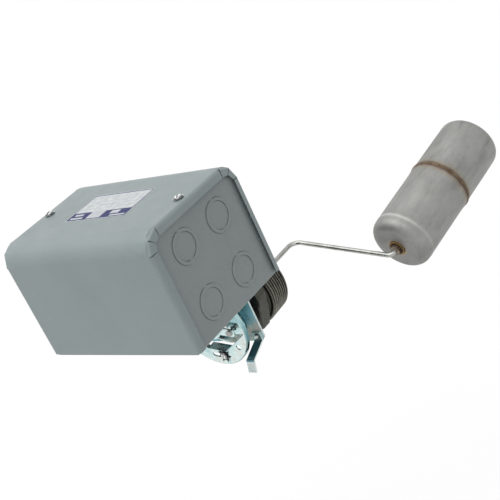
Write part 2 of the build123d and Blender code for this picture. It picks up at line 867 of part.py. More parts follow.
def make_yoke_guide():
    """A moulded guide on the bracket that keeps the leg upright."""
    top = guide_low_z + guide_height
    gap_y = yoke_width / 2 + guide_clearance
    wall_y = yoke_width / 2 + guide_wall
    gap_x0 = yoke_front_x - guide_clearance
    gap_x1 = yoke_back_x + guide_clearance
    x0 = gap_x0 - guide_front_wall
    body = block(x0, bracket_back_x, pin_y - wall_y, pin_y + wall_y, guide_low_z, top)
    body = chamfer(body.edges().filter_by(Axis.X), guide_bevel)
    return body - block(gap_x0, gap_x1, pin_y - gap_y, pin_y + gap_y, guide_low_z - 1, top + 1)


# ------------------------------------------------------------- switch contacts
def block_screw_places():
    x = block_half_width + block_foot / 2
    return [(beam_x + sx * x, sy * switch_y) for sx in (-1, 1) for sy in (-1, 1)]


def pole_places(side):
    """The Y of one switch unit's two poles."""
    return [side * switch_y + pole * pole_pitch / 2 for pole in (-1, 1)]


def rivet_places(side):
    """Each fixed contact as its outward sign, X and Y."""
    return [(sx, beam_x + sx * contact_x, y) for sx in (-1, 1) for y in pole_places(side)]


def block_section():
    """Half of a contact block's end outline, from its middle outward."""
    inner = block_half_width - block_wall
    outer = block_half_width + block_foot
    foot_z = floor_z + block_foot_height
    half = Polyline(
        (0, block_z),
        (inner, block_z),
        (inner, floor_z),
        (outer, floor_z),
        (outer, foot_z),
        (block_half_width, foot_z),
        (block_half_width, block_top_z),
        (0, block_top_z),
        close=True,
    )
    face = make_face(half)
    return face + mirror(face, about=Plane.YZ)


def make_contact_block(side):
    """A moulded bridge over the moving contacts, with barriers between poles."""
    y = side * switch_y
    profile = Plane.XZ.offset(-y) * Pos(beam_x, 0) * block_section()
    body = extrude(profile, amount=block_length / 2, both=True)
    top = block_top_z + barrier_height
    x0 = beam_x - block_half_width
    x1 = beam_x + block_half_width
    half = barrier_width / 2
    for step in (-1, 0, 1):
        middle = y + step * (block_length / 2 - half)
        wall = block(x0, x1, middle - half, middle + half, block_top_z, top)
        body += chamfer(wall.edges().filter_by(Axis.Y).group_by(Axis.Z)[-1], barrier_bevel)
    room = stem_size / 2 + stem_clearance
    body -= block(beam_x - room, beam_x + room, y - room, y + room, block_z - 1, top + 1)
    for sx, x, spot_y in rivet_places(side):
        body -= round_z(rivet_radius, block_z - 1, block_top_z + 1, x, spot_y)
        screw_x = x + sx * terminal_offset
        low = block_top_z - terminal_screw_depth
        body -= round_z(terminal_screw_radius, low, block_top_z + 1, screw_x, spot_y)
    foot_top = floor_z + block_foot_height
    for screw_x, screw_y in block_screw_places():
        body -= round_z(block_screw_radius, floor_z - 1, foot_top + 1, screw_x, screw_y)
    return body


def make_block_screws():
    grip = block_foot_height + sheet + screw_end
    screw = slotted_screw(block_head_radius, block_screw_radius, grip)
    top = floor_z + block_foot_height
    return gather(Pos(x, y, top) * Rot(Z=25) * screw for x, y in block_screw_places())


def make_fixed_contact(sx, x, y):
    """A rivet with its contact tip below and its terminal plate above."""
    half = terminal_size / 2
    plate_x = x + sx * terminal_offset / 2
    top = block_top_z + terminal_thickness
    contact = round_z(contact_radius, block_z - contact_height, block_z, x, y)
    contact += round_z(rivet_radius, block_z, block_top_z, x, y)
    plate = block(plate_x - half, plate_x + half, y - half, y + half, block_top_z, top)
    plate -= round_z(terminal_screw_radius, block_top_z - 1, top + 1, x + sx * terminal_offset, y)
    return contact + plate


def make_fixed_contacts():
    spots = rivet_places(-1) + rivet_places(1)
    return gather(make_fixed_contact(*spot) for spot in spots)


def make_terminal_screws():
    grip = terminal_thickness + terminal_screw_depth - screw_end
    screw = slotted_screw(terminal_head_radius, terminal_screw_radius, grip)
    top = block_top_z + terminal_thickness
    screws = []
    for index, (sx, x, y) in enumerate(rivet_places(-1) + rivet_places(1)):
        screws.append(Pos(x + sx * terminal_offset, y, top) * Rot(Z=30 + 40 * index) * screw)
    return gather(screws)


def make_carrier(side):
    """A guided stem with a round nose on the beam and an arm for two bridges."""
    y = side * switch_y
    half = stem_size / 2
    half_x = carrier_width / 2
    carrier = bar_x(Pos(y, nose_z + half) * Circle(half), beam_x - half, beam_x + half)
    carrier += block(beam_x - half, beam_x + half, y - half, y + half, nose_z + half, stem_top_z)
    ends = (y - carrier_reach, y + carrier_reach)
    carrier += block(beam_x - half_x, beam_x + half_x, *ends, carrier_z, carrier_top_z)
    post_top = bridge_z + bridge_thickness + post_rise
    for pole_y in pole_places(side):
        carrier += round_z(spring_post_radius, carrier_top_z, post_top, beam_x, pole_y)
    return carrier


def make_bridges(side):
    """Two bars, each with a contact tip at both ends."""
    top = bridge_z + bridge_thickness
    half_x = contact_x + bridge_overhang
    half_y = bridge_width / 2
    bridges = []
    for y in pole_places(side):
        bar = block(beam_x - half_x, beam_x + half_x, y - half_y, y + half_y, bridge_z, top)
        bar = chamfer(bar.edges().filter_by(Axis.Z), bridge_bevel)
        for x in (beam_x - contact_x, beam_x + contact_x):
            bar += round_z(contact_radius, top, top + bridge_tip_height, x, y)
        bridges.append(bar - round_z(spring_post_radius, bridge_z - 1, top + 1, beam_x, y))
    return gather(bridges)


def make_contact_springs(side):
    ring = Circle(spring_radius) - Circle(spring_radius - spring_wire)
    spring = extrude(ring, amount=spring_height)
    return gather(Pos(beam_x, y, carrier_top_z) * spring for y in pole_places(side))


# ---------------------------------------------------------------------- export
nodes = {
    "cover": make_cover(),
    "cover_screws": make_cover_screws(),
    "chassis": make_chassis(),
    "ground_screw": make_ground_screw(),
    "mounting_bracket": make_bracket(),
    "bracket_screws": make_bracket_screws(),
    "bracket_nuts": make_bracket_nuts(),
    "tank_bushing": make_bushing(),
    "bushing_bolts": make_bushing_bolts(),
    "bearing_cup": make_bearing_cup(),
    "inner_bearing": make_inner_bearing(),
    "outer_bearing": make_outer_bearing(),
    "shaft_packing": make_packing(),
    "gland_nut": make_gland_nut(),
    "index_strap": make_strap(),
    "strap_screw": make_strap_screw(),
    "yoke_guide": make_yoke_guide(),
    "shaft_rod": make_shaft_rod(),
    "thrust_collar": make_thrust_collar(),
    "float_boss": make_float_boss(),
    "float_cup_rod_side": make_rod_side_cup(),
    "float_cup_far_side": make_far_cup(),
    "float_weld": make_float_weld(),
    "operating_disc": make_disc(),
    "disc_hub": make_disc_hub(),
    "hub_screw": make_hub_screw(),
    "drive_pin": make_drive_pin(),
    "star_washer": make_star_washer(),
    "clamp_screw": make_clamp_screw(),
    "operating_yoke": make_yoke(),
    "beam_pin": make_beam_pin(),
    "alternator_beam": make_beam(),
    "fixed_contacts": make_fixed_contacts(),
    "terminal_screws": make_terminal_screws(),
    "block_screws": make_block_screws(),
}
for side, unit in ((1, "a"), (-1, "b")):
    nodes[f"contact_block_{unit}"] = make_contact_block(side)
    nodes[f"contact_carrier_{unit}"] = make_carrier(side)
    nodes[f"contact_bridges_{unit}"] = make_bridges(side)
    nodes[f"contact_springs_{unit}"] = make_contact_springs(side)

for node, shape in nodes.items():
    save(shape, node)
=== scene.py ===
"""The looks of the float-operated pump switch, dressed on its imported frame.

Lengths are in millimetres where MM turns them into metres. Textures are in metres.
"""
import json
from math import cos, degrees, pi, radians, sin, sqrt

import bmesh
import bpy
from mathutils import Matrix, Vector


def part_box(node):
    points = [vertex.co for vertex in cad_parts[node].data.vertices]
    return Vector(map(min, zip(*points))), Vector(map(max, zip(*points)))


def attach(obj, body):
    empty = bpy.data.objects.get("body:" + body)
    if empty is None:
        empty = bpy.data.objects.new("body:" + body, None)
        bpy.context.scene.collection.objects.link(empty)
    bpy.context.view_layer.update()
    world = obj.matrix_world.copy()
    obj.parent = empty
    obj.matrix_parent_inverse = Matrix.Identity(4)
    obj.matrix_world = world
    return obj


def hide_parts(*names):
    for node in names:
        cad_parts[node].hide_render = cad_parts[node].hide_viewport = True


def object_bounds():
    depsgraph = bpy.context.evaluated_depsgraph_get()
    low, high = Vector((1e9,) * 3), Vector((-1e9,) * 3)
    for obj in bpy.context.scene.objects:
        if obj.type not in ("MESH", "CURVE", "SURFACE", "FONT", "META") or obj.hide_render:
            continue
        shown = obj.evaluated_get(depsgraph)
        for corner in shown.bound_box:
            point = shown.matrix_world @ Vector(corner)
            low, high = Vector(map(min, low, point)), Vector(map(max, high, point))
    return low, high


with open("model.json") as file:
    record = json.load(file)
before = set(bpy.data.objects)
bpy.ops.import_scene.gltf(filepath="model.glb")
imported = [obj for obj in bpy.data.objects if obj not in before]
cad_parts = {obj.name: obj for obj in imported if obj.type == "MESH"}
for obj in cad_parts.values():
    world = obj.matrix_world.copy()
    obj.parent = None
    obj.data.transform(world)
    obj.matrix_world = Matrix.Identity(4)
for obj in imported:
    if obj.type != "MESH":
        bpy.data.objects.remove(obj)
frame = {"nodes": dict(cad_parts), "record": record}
cad_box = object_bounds()
nodes = frame["nodes"]
MM = 0.001


# ------------------------------------------------------------------ materials
class Finish:
    """A Principled material with short calls for its procedural parts.

    With a matrix as local, its textures follow that matrix's axes.
    """

    def __init__(self, name, local=None, **sockets):
        self.material = bpy.data.materials.new(name)
        self.material.use_nodes = True
        self.tree = self.material.node_tree
        self.shader = self.tree.nodes["Principled BSDF"]
        spot = self.tree.nodes.new("ShaderNodeTexCoord")
        self.place = spot.outputs["Object"]
        self.facing = spot.outputs["Normal"]
        if local is not None:
            axes = {"Vector": self.place, "Location": local.to_translation(),
                    "Rotation": local.to_euler()}
            self.place = self.node("Mapping", axes, vector_type="TEXTURE").outputs[0]
        for socket, value in sockets.items():
            self.shader.inputs[socket.replace("_", " ")].default_value = value

    def node(self, kind, inputs=(), **settings):
        made = self.tree.nodes.new("ShaderNode" + kind)
        for setting, value in settings.items():
            setattr(made, setting, value)
        for socket, value in dict(inputs).items():
            if isinstance(value, bpy.types.NodeSocket):
                self.tree.links.new(value, made.inputs[socket])
            else:
                made.inputs[socket].default_value = value
        return made

    def noise(self, size, detail=3.0, stretch=(1, 1, 1), roughness=0.5):
        """Noise from 0 to 1 with features about size metres across."""
        place = self.node("Mapping", {"Vector": self.place, "Scale": stretch}).outputs[0]
        sockets = {"Vector": place, "Scale": 1 / size, "Detail": detail, "Roughness": roughness}
        return self.node("TexNoise", sockets).outputs["Fac"]

    def ramp(self, factor, *stops):
        """Colour stops as (position, colour)."""
        made = self.node("ValToRGB", {"Fac": factor})
        elements = made.color_ramp.elements
        while len(elements) < len(stops):
            elements.new(0.5)
        for element, (position, colour) in zip(elements, stops):
            element.position = position
            element.color = (*colour, 1)
        return made.outputs["Color"]

    def spread(self, factor, low, high, start=0.3, end=0.7):
        """The factor, from start to end, spread over low to high."""
        sockets = {0: factor, 1: start, 2: end, 3: low, 4: high}
        return self.node("MapRange", sockets).outputs[0]

    def share(self, factor, start, end):
        """How far the factor has come from start to end, as 0 to 1."""
        return self.spread(factor, 0.0, 1.0, start, end)

    def shaken(self, value, size, detail, reach):
        """The value with noise added, up to reach either way."""
        return self.math("ADD", value, self.spread(self.noise(size, detail), -reach, reach))

    def mix(self, factor, first, second, blend_type="MIX"):
        """Colours mixed; the Mix node's sockets 6 and 7 and its output 2 are colours."""
        made = self.node("Mix", data_type="RGBA", blend_type=blend_type)
        for index, value in ((0, factor), (6, first), (7, second)):
            if isinstance(value, bpy.types.NodeSocket):
                self.tree.links.new(value, made.inputs[index])
            elif index:
                made.inputs[index].default_value = (*value, 1)
            else:
                made.inputs[index].default_value = value
        return made.outputs[2]

    def math(self, operation, *values):
        return self.node("Math", dict(enumerate(values)), operation=operation).outputs[0]

    def multiply(self, first, second):
        return self.mix(1.0, first, second, "MULTIPLY")

    def axis(self, name):
        return self.node("SeparateXYZ", {0: self.place}).outputs[name]

    def dot(self, vector, direction):
        sockets = {0: vector, 1: direction}
        return self.node("VectorMath", sockets, operation="DOT_PRODUCT").outputs["Value"]

    def radius(self, *across):
        """The distance from the axis for which across holds 0."""
        flat = self.node("VectorMath", {0: self.place, 1: across}, operation="MULTIPLY")
        length = self.node("VectorMath", {0: flat.outputs[0]}, operation="LENGTH")
        return length.outputs["Value"]

    def use(self, socket, value):
        self.tree.links.new(value, self.shader.inputs[socket])

    def bump(self, height, strength, distance):
        sockets = {"Height": height, "Strength": strength, "Distance": distance}
        before = self.shader.inputs["Normal"]
        if before.is_linked:
            sockets["Normal"] = before.links[0].from_socket
        self.use("Normal", self.node("Bump", sockets).outputs["Normal"])


def grey(level):
    return (level,) * 3


def enamel(name, low, high, roughness=0.40):
    """Sprayed enamel: faint clouds, orange peel and a few dull patches."""
    finish = Finish(name, Metallic=0.0, Coat_Weight=0.10, Coat_Roughness=0.25)
    cloud = finish.noise(0.07, 2.0)
    speck = finish.noise(0.0012, 2.0, roughness=0.7)
    tone = finish.ramp(cloud, (0.3, low), (0.7, high))
    speckled = finish.ramp(speck, (0.30, grey(0.93)), (0.55, grey(1.0)), (0.75, grey(1.04)))
    finish.use("Base Color", finish.multiply(tone, speckled))
    dull = finish.noise(0.02, 4.0)
    finish.use("Roughness", finish.spread(dull, roughness - 0.05, roughness + 0.08))
    finish.bump(finish.noise(0.0022, 1.5), 0.16, 0.0002)
    return finish


def metal(name, low, high, roughness, grain=0.0012, stretch=(1, 1, 8), bump=0.06, patch=0.011):
    """Bare or plated metal with a drawn or turned grain."""
    finish = Finish(name, Metallic=1.0)
    finish.use("Base Color", finish.ramp(finish.noise(patch, 3.0), (0.3, low), (0.7, high)))
    lines = finish.noise(grain, 4.0, stretch=stretch)
    finish.use("Roughness", finish.spread(lines, roughness - 0.06, roughness + 0.08))
    finish.bump(lines, bump, 0.0002)
    return finish


def moulded(name, low, high, roughness=0.45):
    """Moulded plastic or rubber with a fine matt skin."""
    finish = Finish(name, Specular_IOR_Level=0.45)
    finish.use("Base Color", finish.ramp(finish.noise(0.012, 3.0), (0.3, low), (0.7, high)))
    skin = finish.noise(0.0007, 2.0)
    finish.use("Roughness", finish.spread(skin, roughness - 0.06, roughness + 0.1))
    finish.bump(skin, 0.12, 0.0001)
    return finish


def plated_sheet(name, front, wall_shade, patch=0.02, along=None, bands=(), wobble=0.002,
                 satin=0.0, edges="X"):
    """Zinc plate with a blue chromate on pressed sheet.

    front holds the tones of faces across X; the next table paints edges and folds with
    shade and light, darker where they face down and lighter where they face up. With bands,
    (metres, colour) along a direction, the front's tone follows the place instead.
    satin dulls the mirror.
    """
    finish = Finish(name, Metallic=1.0 - satin)
    if bands:
        distance = finish.shaken(finish.dot(finish.place, along), 0.010, 2.0, wobble)
        start, end = bands[0][0], bands[-1][0]
        stops = [((at - start) / (end - start), colour) for at, colour in bands]
        face = finish.ramp(finish.share(distance, start, end), *stops)
    else:
        face = finish.ramp(finish.noise(patch, 2.0), *front)
    normal = finish.node("SeparateXYZ", {0: finish.facing})
    # Painted shade and light: edges and folds darker where they face down, lighter where they face
    # up.
    painted_wall_shade = finish.ramp(finish.share(normal.outputs["Z"], -1.0, 1.0), *wall_shade)
    across = finish.math("ABSOLUTE", normal.outputs[edges])
    turning = (1.0, 0.0, 0.62, 0.86) if edges == "X" else (0.0, 1.0, 0.55, 0.80)
    tone = finish.mix(finish.spread(across, *turning), face, painted_wall_shade)
    spots = finish.noise(0.004, 4.0, roughness=0.6)
    grime = finish.ramp(spots, (0.34, (0.86, 0.89, 0.89)), (0.55, grey(1.0)))
    finish.use("Base Color", finish.multiply(tone, grime))
    streak = finish.noise(0.005, 3.0, stretch=(1, 1, 3))
    finish.use("Roughness", finish.spread(streak, 0.20 + satin * 0.7, 0.28 + satin))
    finish.bump(streak, 0.015, 0.0002)
    return finish


def tinted_float(name, local, weld, band):
    """Dull drawn stainless, heat tinted beside its weld and round the boss.

    Local Z runs along the float from its rod end; weld is the weld's place on it and
    band the place of the die's ridge, where a painted highlight is laid on faces that point up.
    """
    finish = Finish(name, local, Metallic=1.0)
    cloud = finish.noise(0.018, 5.0, stretch=(1, 1, 0.45), roughness=0.62)
    steel = finish.ramp(cloud, (0.28, (0.225, 0.224, 0.214)), (0.5, (0.300, 0.299, 0.288)),
                        (0.75, (0.360, 0.359, 0.347)))
    smear = finish.noise(0.011, 5.0, stretch=(1.5, 1.5, 0.3), roughness=0.7)
    dark = finish.ramp(smear, (0.56, grey(1.0)), (0.70, (0.80, 0.80, 0.79)))
    tone = finish.multiply(steel, dark)
    z = finish.axis("Z")
    # Painted highlight along the die's ridge, strongest on faces that point up.
    line = finish.math("ABSOLUTE", finish.math("SUBTRACT", z, band))
    line = finish.shaken(line, 0.02, 2.0, 0.0006)
    painted_highlight = finish.ramp(finish.share(line, 0.0005, 0.0036),
                        (0.0, grey(1.75)), (0.45, grey(1.22)), (1.0, grey(1.0)))
    up = finish.node("SeparateXYZ", {0: finish.facing}).outputs["Z"]
    lit = finish.spread(up, 0.25, 1.0, 0.35, 0.95)
    tone = finish.mix(lit, tone, finish.multiply(tone, painted_highlight))
    away = finish.math("ABSOLUTE", finish.math("SUBTRACT", z, weld))
    away = finish.shaken(away, 0.014, 3.0, 0.0007)
    tint = finish.ramp(
        finish.share(away, 0.0010, 0.0085),
        (0.0, (0.36, 0.27, 0.19)), (0.16, (0.58, 0.44, 0.34)), (0.30, (0.72, 0.64, 0.66)),
        (0.44, (1.0, 0.90, 0.72)), (0.75, (1.0, 0.98, 0.94)), (1.0, (1.0, 1.0, 1.0)))
    tone = finish.multiply(tone, tint)
    radius = finish.shaken(finish.radius(1, 1, 0), 0.007, 3.0, 0.0008)
    # Rings round the boss: near black close to the middle, then brown and straw heat tint outward.
    ring = finish.ramp(
        finish.share(radius, 0.0045, 0.0135),
        (0.0, (0.30, 0.25, 0.20)), (0.14, (0.10, 0.07, 0.05)), (0.30, (0.17, 0.11, 0.06)),
        (0.44, (0.36, 0.25, 0.11)), (0.56, (0.36, 0.32, 0.24)), (0.72, (0.31, 0.31, 0.33)))
    near = finish.math("MULTIPLY", finish.spread(radius, 1.0, 0.0, 0.0098, 0.0125),
                       finish.spread(z, 1.0, 0.0, 0.004, 0.006))
    finish.use("Base Color", finish.mix(near, tone, ring))
    rough = finish.noise(0.010, 4.0, stretch=(1, 1, 0.4))
    finish.use("Roughness", finish.spread(rough, 0.46, 0.60))
    finish.bump(finish.noise(0.0016, 4.0, stretch=(1, 1, 0.35)), 0.05, 0.0002)
    return finish


PAINT_LOW, PAINT_HIGH = (0.262, 0.314, 0.318), (0.285, 0.338, 0.341)
# The chassis's tones: the cover's enamel darkened as painted shade of the recess behind the lip.
SHADED_PLATE_LOW, SHADED_PLATE_HIGH = (0.246, 0.284, 0.280), (0.266, 0.304, 0.300)
CHROMATE_FRONT = ((0.30, (0.34, 0.55, 0.57)), (0.42, (0.58, 0.76, 0.76)),
                  (0.55, (0.72, 0.83, 0.81)), (0.70, (0.70, 0.68, 0.62)))
# Edges and folds, from facing down to facing up: painted shade, then painted light.
CHROMATE_WALL_SHADE = ((0.05, (0.05, 0.13, 0.145)), (0.42, (0.12, 0.28, 0.31)),
                  (0.62, (0.40, 0.60, 0.62)), (0.95, (0.82, 0.90, 0.89)))
FINISHES = {
    "enclosure_paint": enamel("grey_enamel", PAINT_LOW, PAINT_HIGH),
    "zinc_sheet": plated_sheet("blue_chromate_painted_shade_on_edges", CHROMATE_FRONT, CHROMATE_WALL_SHADE),
    "bright_zinc": metal("bright_zinc", (0.62, 0.64, 0.65), (0.82, 0.84, 0.85), 0.22),
    "black_iron": metal("black_iron", (0.040, 0.041, 0.037), (0.085, 0.085, 0.075), 0.42),
    "rod_steel": metal("rod_steel", (0.32, 0.32, 0.305), (0.48, 0.48, 0.455), 0.28,
                       stretch=(1, 1, 1)),
    "float_steel": metal("float_steel", (0.30, 0.30, 0.29), (0.40, 0.40, 0.39), 0.45),
    "heat_tint": metal("heat_tint", (0.16, 0.11, 0.075), (0.42, 0.31, 0.20), 0.36, patch=0.005),
    "bronze": metal("bronze", (0.42, 0.27, 0.13), (0.58, 0.40, 0.21), 0.4),
    "brass_nut": metal("turned_brass", (0.56, 0.43, 0.21), (0.72, 0.58, 0.31), 0.28),
    "packing": moulded("packing_rubber", (0.02, 0.02, 0.02), (0.04, 0.04, 0.04), 0.7),
    "guide_plastic": moulded("natural_nylon", (0.60, 0.58, 0.50), (0.72, 0.70, 0.62), 0.4),
    "phenolic": moulded("black_phenolic", (0.018, 0.016, 0.015), (0.035, 0.03, 0.027), 0.35),
    "carrier_plastic": moulded("red_phenolic", (0.30, 0.07, 0.04), (0.40, 0.11, 0.06), 0.4),
    "contact_brass": metal("contact_brass", (0.62, 0.48, 0.24), (0.78, 0.64, 0.36), 0.3),
    "dark_steel": metal("black_spring_steel", (0.02, 0.024, 0.025), (0.06, 0.068, 0.07), 0.35),
    "green_screw": metal("green_zinc", (0.03, 0.22, 0.07), (0.06, 0.36, 0.13), 0.3),
}
SLOTS = {part["node"]: part["material_slot"] for part in frame["record"]["subparts"]}


def dress(piece, finish):
    piece.data.materials.clear()
    piece.data.materials.append(finish.material)


# -------------------------------------------------------------- mesh helpers
def link(name, mesh, matrix=None):
    """An object at the origin; the matrix moves its mesh, so its box stays true."""
    if matrix is not None:
        mesh.transform(matrix)
    made = bpy.data.objects.new(name, mesh)
    bpy.context.scene.collection.objects.link(made)
    return made


def clamp(value):
    return min(max(value, 0.0), 1.0)


def blend(first, second, share):
    return first + (second - first) * share


def mesh_from(bm, name):
    """The bmesh as a mesh, with its faces turned outward."""
    bmesh.ops.recalc_face_normals(bm, faces=bm.faces)
    mesh = bpy.data.meshes.new(name)
    bm.to_mesh(mesh)
    bm.free()
    return mesh


def grid_mesh(name, rows, wrap_rows=False, wrap_columns=False, skip=()):
    """Quads over rows of points; wrap joins the last row or column to the first."""
    bm = bmesh.new()
    made = [[bm.verts.new(point) for point in row] for row in rows]
    count, width = len(rows), len(rows[0])
    for i in range(count if wrap_rows else count - 1):
        for j in range(width if wrap_columns else width - 1):
            if (i, j) in skip:
                continue
            upper, lower = made[i], made[(i + 1) % count]
            after = (j + 1) % width
            bm.faces.new((upper[j], upper[after], lower[after], lower[j]))
    loose = [vert for vert in bm.verts if not vert.link_faces]
    bmesh.ops.delete(bm, geom=loose, context="VERTS")
    return mesh_from(bm, name)


def lathe(name, profile, steps=96, ripple=None):
    """A solid turned about local Z from (radius, height) points in millimetres.

    A profile that starts and ends on the axis closes there, and any other joins
    its last point to its first.
    """
    bm = bmesh.new()
    rings = []
    for radius, height in profile:
        if radius == 0:
            rings.append([bm.verts.new((0, 0, height * MM))])
            continue
        ring = []
        for step in range(steps):
            turn = 2 * pi * step / steps
            wide = radius + (ripple(turn, radius, height) if ripple else 0)
            ring.append(bm.verts.new((wide * cos(turn) * MM, wide * sin(turn) * MM, height * MM)))
        rings.append(ring)
    closed = profile[0][0] != 0
    for index in range(len(rings) if closed else len(rings) - 1):
        first, second = rings[index], rings[(index + 1) % len(rings)]
        for step in range(steps):
            after = (step + 1) % steps
            corners = [first[step % len(first)], first[after % len(first)],
                       second[after % len(second)], second[step % len(second)]]
            corners = list(dict.fromkeys(corners))
            if len(corners) > 2:
                bm.faces.new(corners)
    return mesh_from(bm, name)


def soften(piece, angle=35.0):
    """Smooth shading that keeps edges sharper than the angle."""
    piece.data.shade_smooth()
    piece.data.set_sharp_from_angle(angle=radians(angle))


def bevel(piece, width, angle=40.0, segments=2):
    flat = piece.modifiers.new("flats", "DECIMATE")
    flat.decimate_type = "DISSOLVE"
    flat.angle_limit = radians(0.5)
    edge = piece.modifiers.new("edges", "BEVEL")
    edge.width = width * MM
    edge.segments = segments
    edge.limit_method = "ANGLE"
    edge.angle_limit = radians(angle)
    edge.harden_normals = True


def finish_piece(piece, body, slot, finish=None, replaces=()):
    dress(piece, finish or FINISHES[slot])
    soften(piece)
    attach(piece, body)
    if replaces:
        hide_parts(*replaces)
    return piece


# ----------------------------------------------------------------- the camera
def make_camera():
    """A mild telephoto above the box's near corner, rolled as the box lies."""
    data = bpy.data.cameras.new("camera")
    data.sensor_width, data.lens = 36.0, 80.57
    camera = bpy.data.objects.new("camera", data)
    bpy.context.scene.collection.objects.link(camera)
    right = Vector((0.52674, -0.75328, -0.39384))
    up = Vector((0.5412, -0.0601, 0.83875))
    forward = Vector((0.65547, 0.65495, -0.37603))
    place = Matrix.Translation((-0.6912, -0.7244, 0.4459))
    camera.matrix_world = place @ Matrix((right, up, -forward)).transposed().to_4x4()
    bpy.context.scene.camera = camera


def seen_rays(tree):
    """1 on rays that show the background: camera, glossy and transmission."""
    rays = tree.nodes.new("ShaderNodeLightPath")
    total = rays.outputs["Is Camera Ray"]
    for name in ("Is Glossy Ray", "Is Transmission Ray"):
        both = tree.nodes.new("ShaderNodeMath")
        both.operation = "ADD"
        both.use_clamp = True
        tree.links.new(total, both.inputs[0])
        tree.links.new(rays.outputs[name], both.inputs[1])
        total = both.outputs[0]
    return total


FLOOR_HALF = 14.0         # metres
FLOOR_DROP = 0.32         # metres below the part
FLOOR_GLOW = 1.24         # strength of its own light to the camera, and
GLOW_SHARE = 0.62         # its share against the lit paint


def make_floor():
    """A plain pale floor, near white to the camera outside the part's shadow."""
    finish = Finish("pale_floor", Roughness=1.0, Specular_IOR_Level=0.0)
    cloud = finish.noise(0.6, 2.0)
    finish.use("Base Color", finish.ramp(cloud, (0.3, grey(0.66)), (0.7, grey(0.68))))
    tree = finish.tree
    glow = tree.nodes.new("ShaderNodeEmission")
    mixed = tree.nodes.new("ShaderNodeMixShader")
    share = finish.math("MULTIPLY", seen_rays(tree), GLOW_SHARE)
    tree.links.new(share, mixed.inputs[0])
    tree.links.new(finish.shader.outputs[0], mixed.inputs[1])
    glow.inputs["Strength"].default_value = FLOOR_GLOW
    tree.links.new(glow.outputs[0], mixed.inputs[2])
    tree.links.new(mixed.outputs[0], tree.nodes["Material Output"].inputs["Surface"])
    ends = (-FLOOR_HALF, FLOOR_HALF)
    rows = [[(x, y, 0.0) for x in ends] for y in ends]
    floor = link("floor", grid_mesh("floor", rows))
    floor.location.z = cad_box[0].z - FLOOR_DROP
    dress(floor, finish)


LIGHT_FROM = (-0.70, 0.22, 0.68)
WORLD_DIM, WORLD_BRIGHT = 0.20, 0.64


def make_world():
    """Soft light, stronger from above and the left, before a white background."""
    world = bpy.data.worlds.new("studio")
    world.use_nodes = True
    tree = world.node_tree
    back = tree.nodes["Background"]
    place = tree.nodes.new("ShaderNodeTexCoord")
    lean = tree.nodes.new("ShaderNodeVectorMath")
    lean.operation = "DOT_PRODUCT"
    lean.inputs[1].default_value = LIGHT_FROM
    tree.links.new(place.outputs["Generated"], lean.inputs[0])
    soft = tree.nodes.new("ShaderNodeMapRange")
    for socket, value in ((1, -0.8), (2, 1.0), (3, WORLD_DIM), (4, WORLD_BRIGHT)):
        soft.inputs[socket].default_value = value
    tree.links.new(lean.outputs["Value"], soft.inputs[0])
    level = tree.nodes.new("ShaderNodeMapRange")
    level.inputs[4].default_value = 1.0
    tree.links.new(seen_rays(tree), level.inputs[0])
    tree.links.new(soft.outputs[0], level.inputs[3])
    tree.links.new(level.outputs[0], back.inputs["Strength"])
    back.inputs["Color"].default_value = (1, 1, 1, 1)
    bpy.context.scene.world = world


def make_sun(name, direction, strength, spread):
    lamp = bpy.data.lights.new(name, "SUN")
    lamp.energy = strength
    lamp.angle = radians(spread)
    holder = bpy.data.objects.new(name, lamp)
    bpy.context.scene.collection.objects.link(holder)
    holder.rotation_mode = "QUATERNION"
    holder.rotation_quaternion = Vector(direction).to_track_quat("-Z", "Y")


SUNS = (((-0.30, 0.20, 0.93), 0.68), ((-0.42, -0.15, 0.90), 0.47),
        ((-0.05, 0.65, 0.75), 0.25), ((-0.42, -0.60, 0.68), 0.20))
SUN_WIDTH = 55            # degrees, for soft shadows

make_camera()
make_floor()
make_world()
for index, (source, strength) in enumerate(SUNS):
    make_sun(f"overhead_{index}", -Vector(source), strength, SUN_WIDTH)
bpy.context.scene.view_settings.view_transform = "Standard"


# ------------------------------------------------------ CAD nodes that stay
EDGE_WIDTH = 0.2
EDGE_WIDTHS = {"chassis": 0.35, "mounting_bracket": 0.4, "operating_disc": 0.3,
               "index_strap": 0.3, "contact_block_a": 0.5, "contact_block_b": 0.5,
               "yoke_guide": 0.5, "contact_carrier_a": 0.5, "contact_carrier_b": 0.5,
               "alternator_beam": 0.5}
UNBEVELLED = ("shaft_rod", "shaft_packing", "star_washer", "inner_bearing")
for node, slot in SLOTS.items():
    dress(nodes[node], FINISHES[slot])
    if node not in UNBEVELLED:
        bevel(nodes[node], EDGE_WIDTHS.get(node, EDGE_WIDTH))
    soften(nodes[node])


# --------------------------------------------------------------------- cover
SHEET = 1.5
LIP_SHEET = 1.05          # the lip is drawn thinner than the sheet
CORNER_LEFT = 17.5
CORNER_RIGHT = 17.0
FOLD_WIDE = 3.7           # outer radius of the fold to the lip, front and left
FOLD_TIGHT = 1.8          # and on the right
FOLD_TAB = 2.1            # and on the tabs of the corners
LIP_FRONT = 8.4           # from the outside in to the lip's edge
LIP_LEFT = 8.8
LIP_RIGHT = 5.6
LIP_EDGE = 1.2            # the lip's outermost row of faces
SLIT = 0.8
FACET_FADE = 1.2          # from the fold to where the corners are round again
FACET_ROWS = ((0.3, 0.8), (0.65, 0.3), (1.0, 0.0))   # share of the fade, of the facet
FOLD_STEPS = 6
BODY_ROWS = 14
SIDE_STEPS, CORNER_STEPS, FRONT_STEPS = 6, 6, 8
FOOT_DROP = 0.7           # of its lower edge below the solid cover's
CUT_EDGE = 0.22           # rounding of the sheet's cut edges
cover_lo, cover_hi = (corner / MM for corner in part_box("cover"))
cover_foot = cover_lo.z - FOOT_DROP


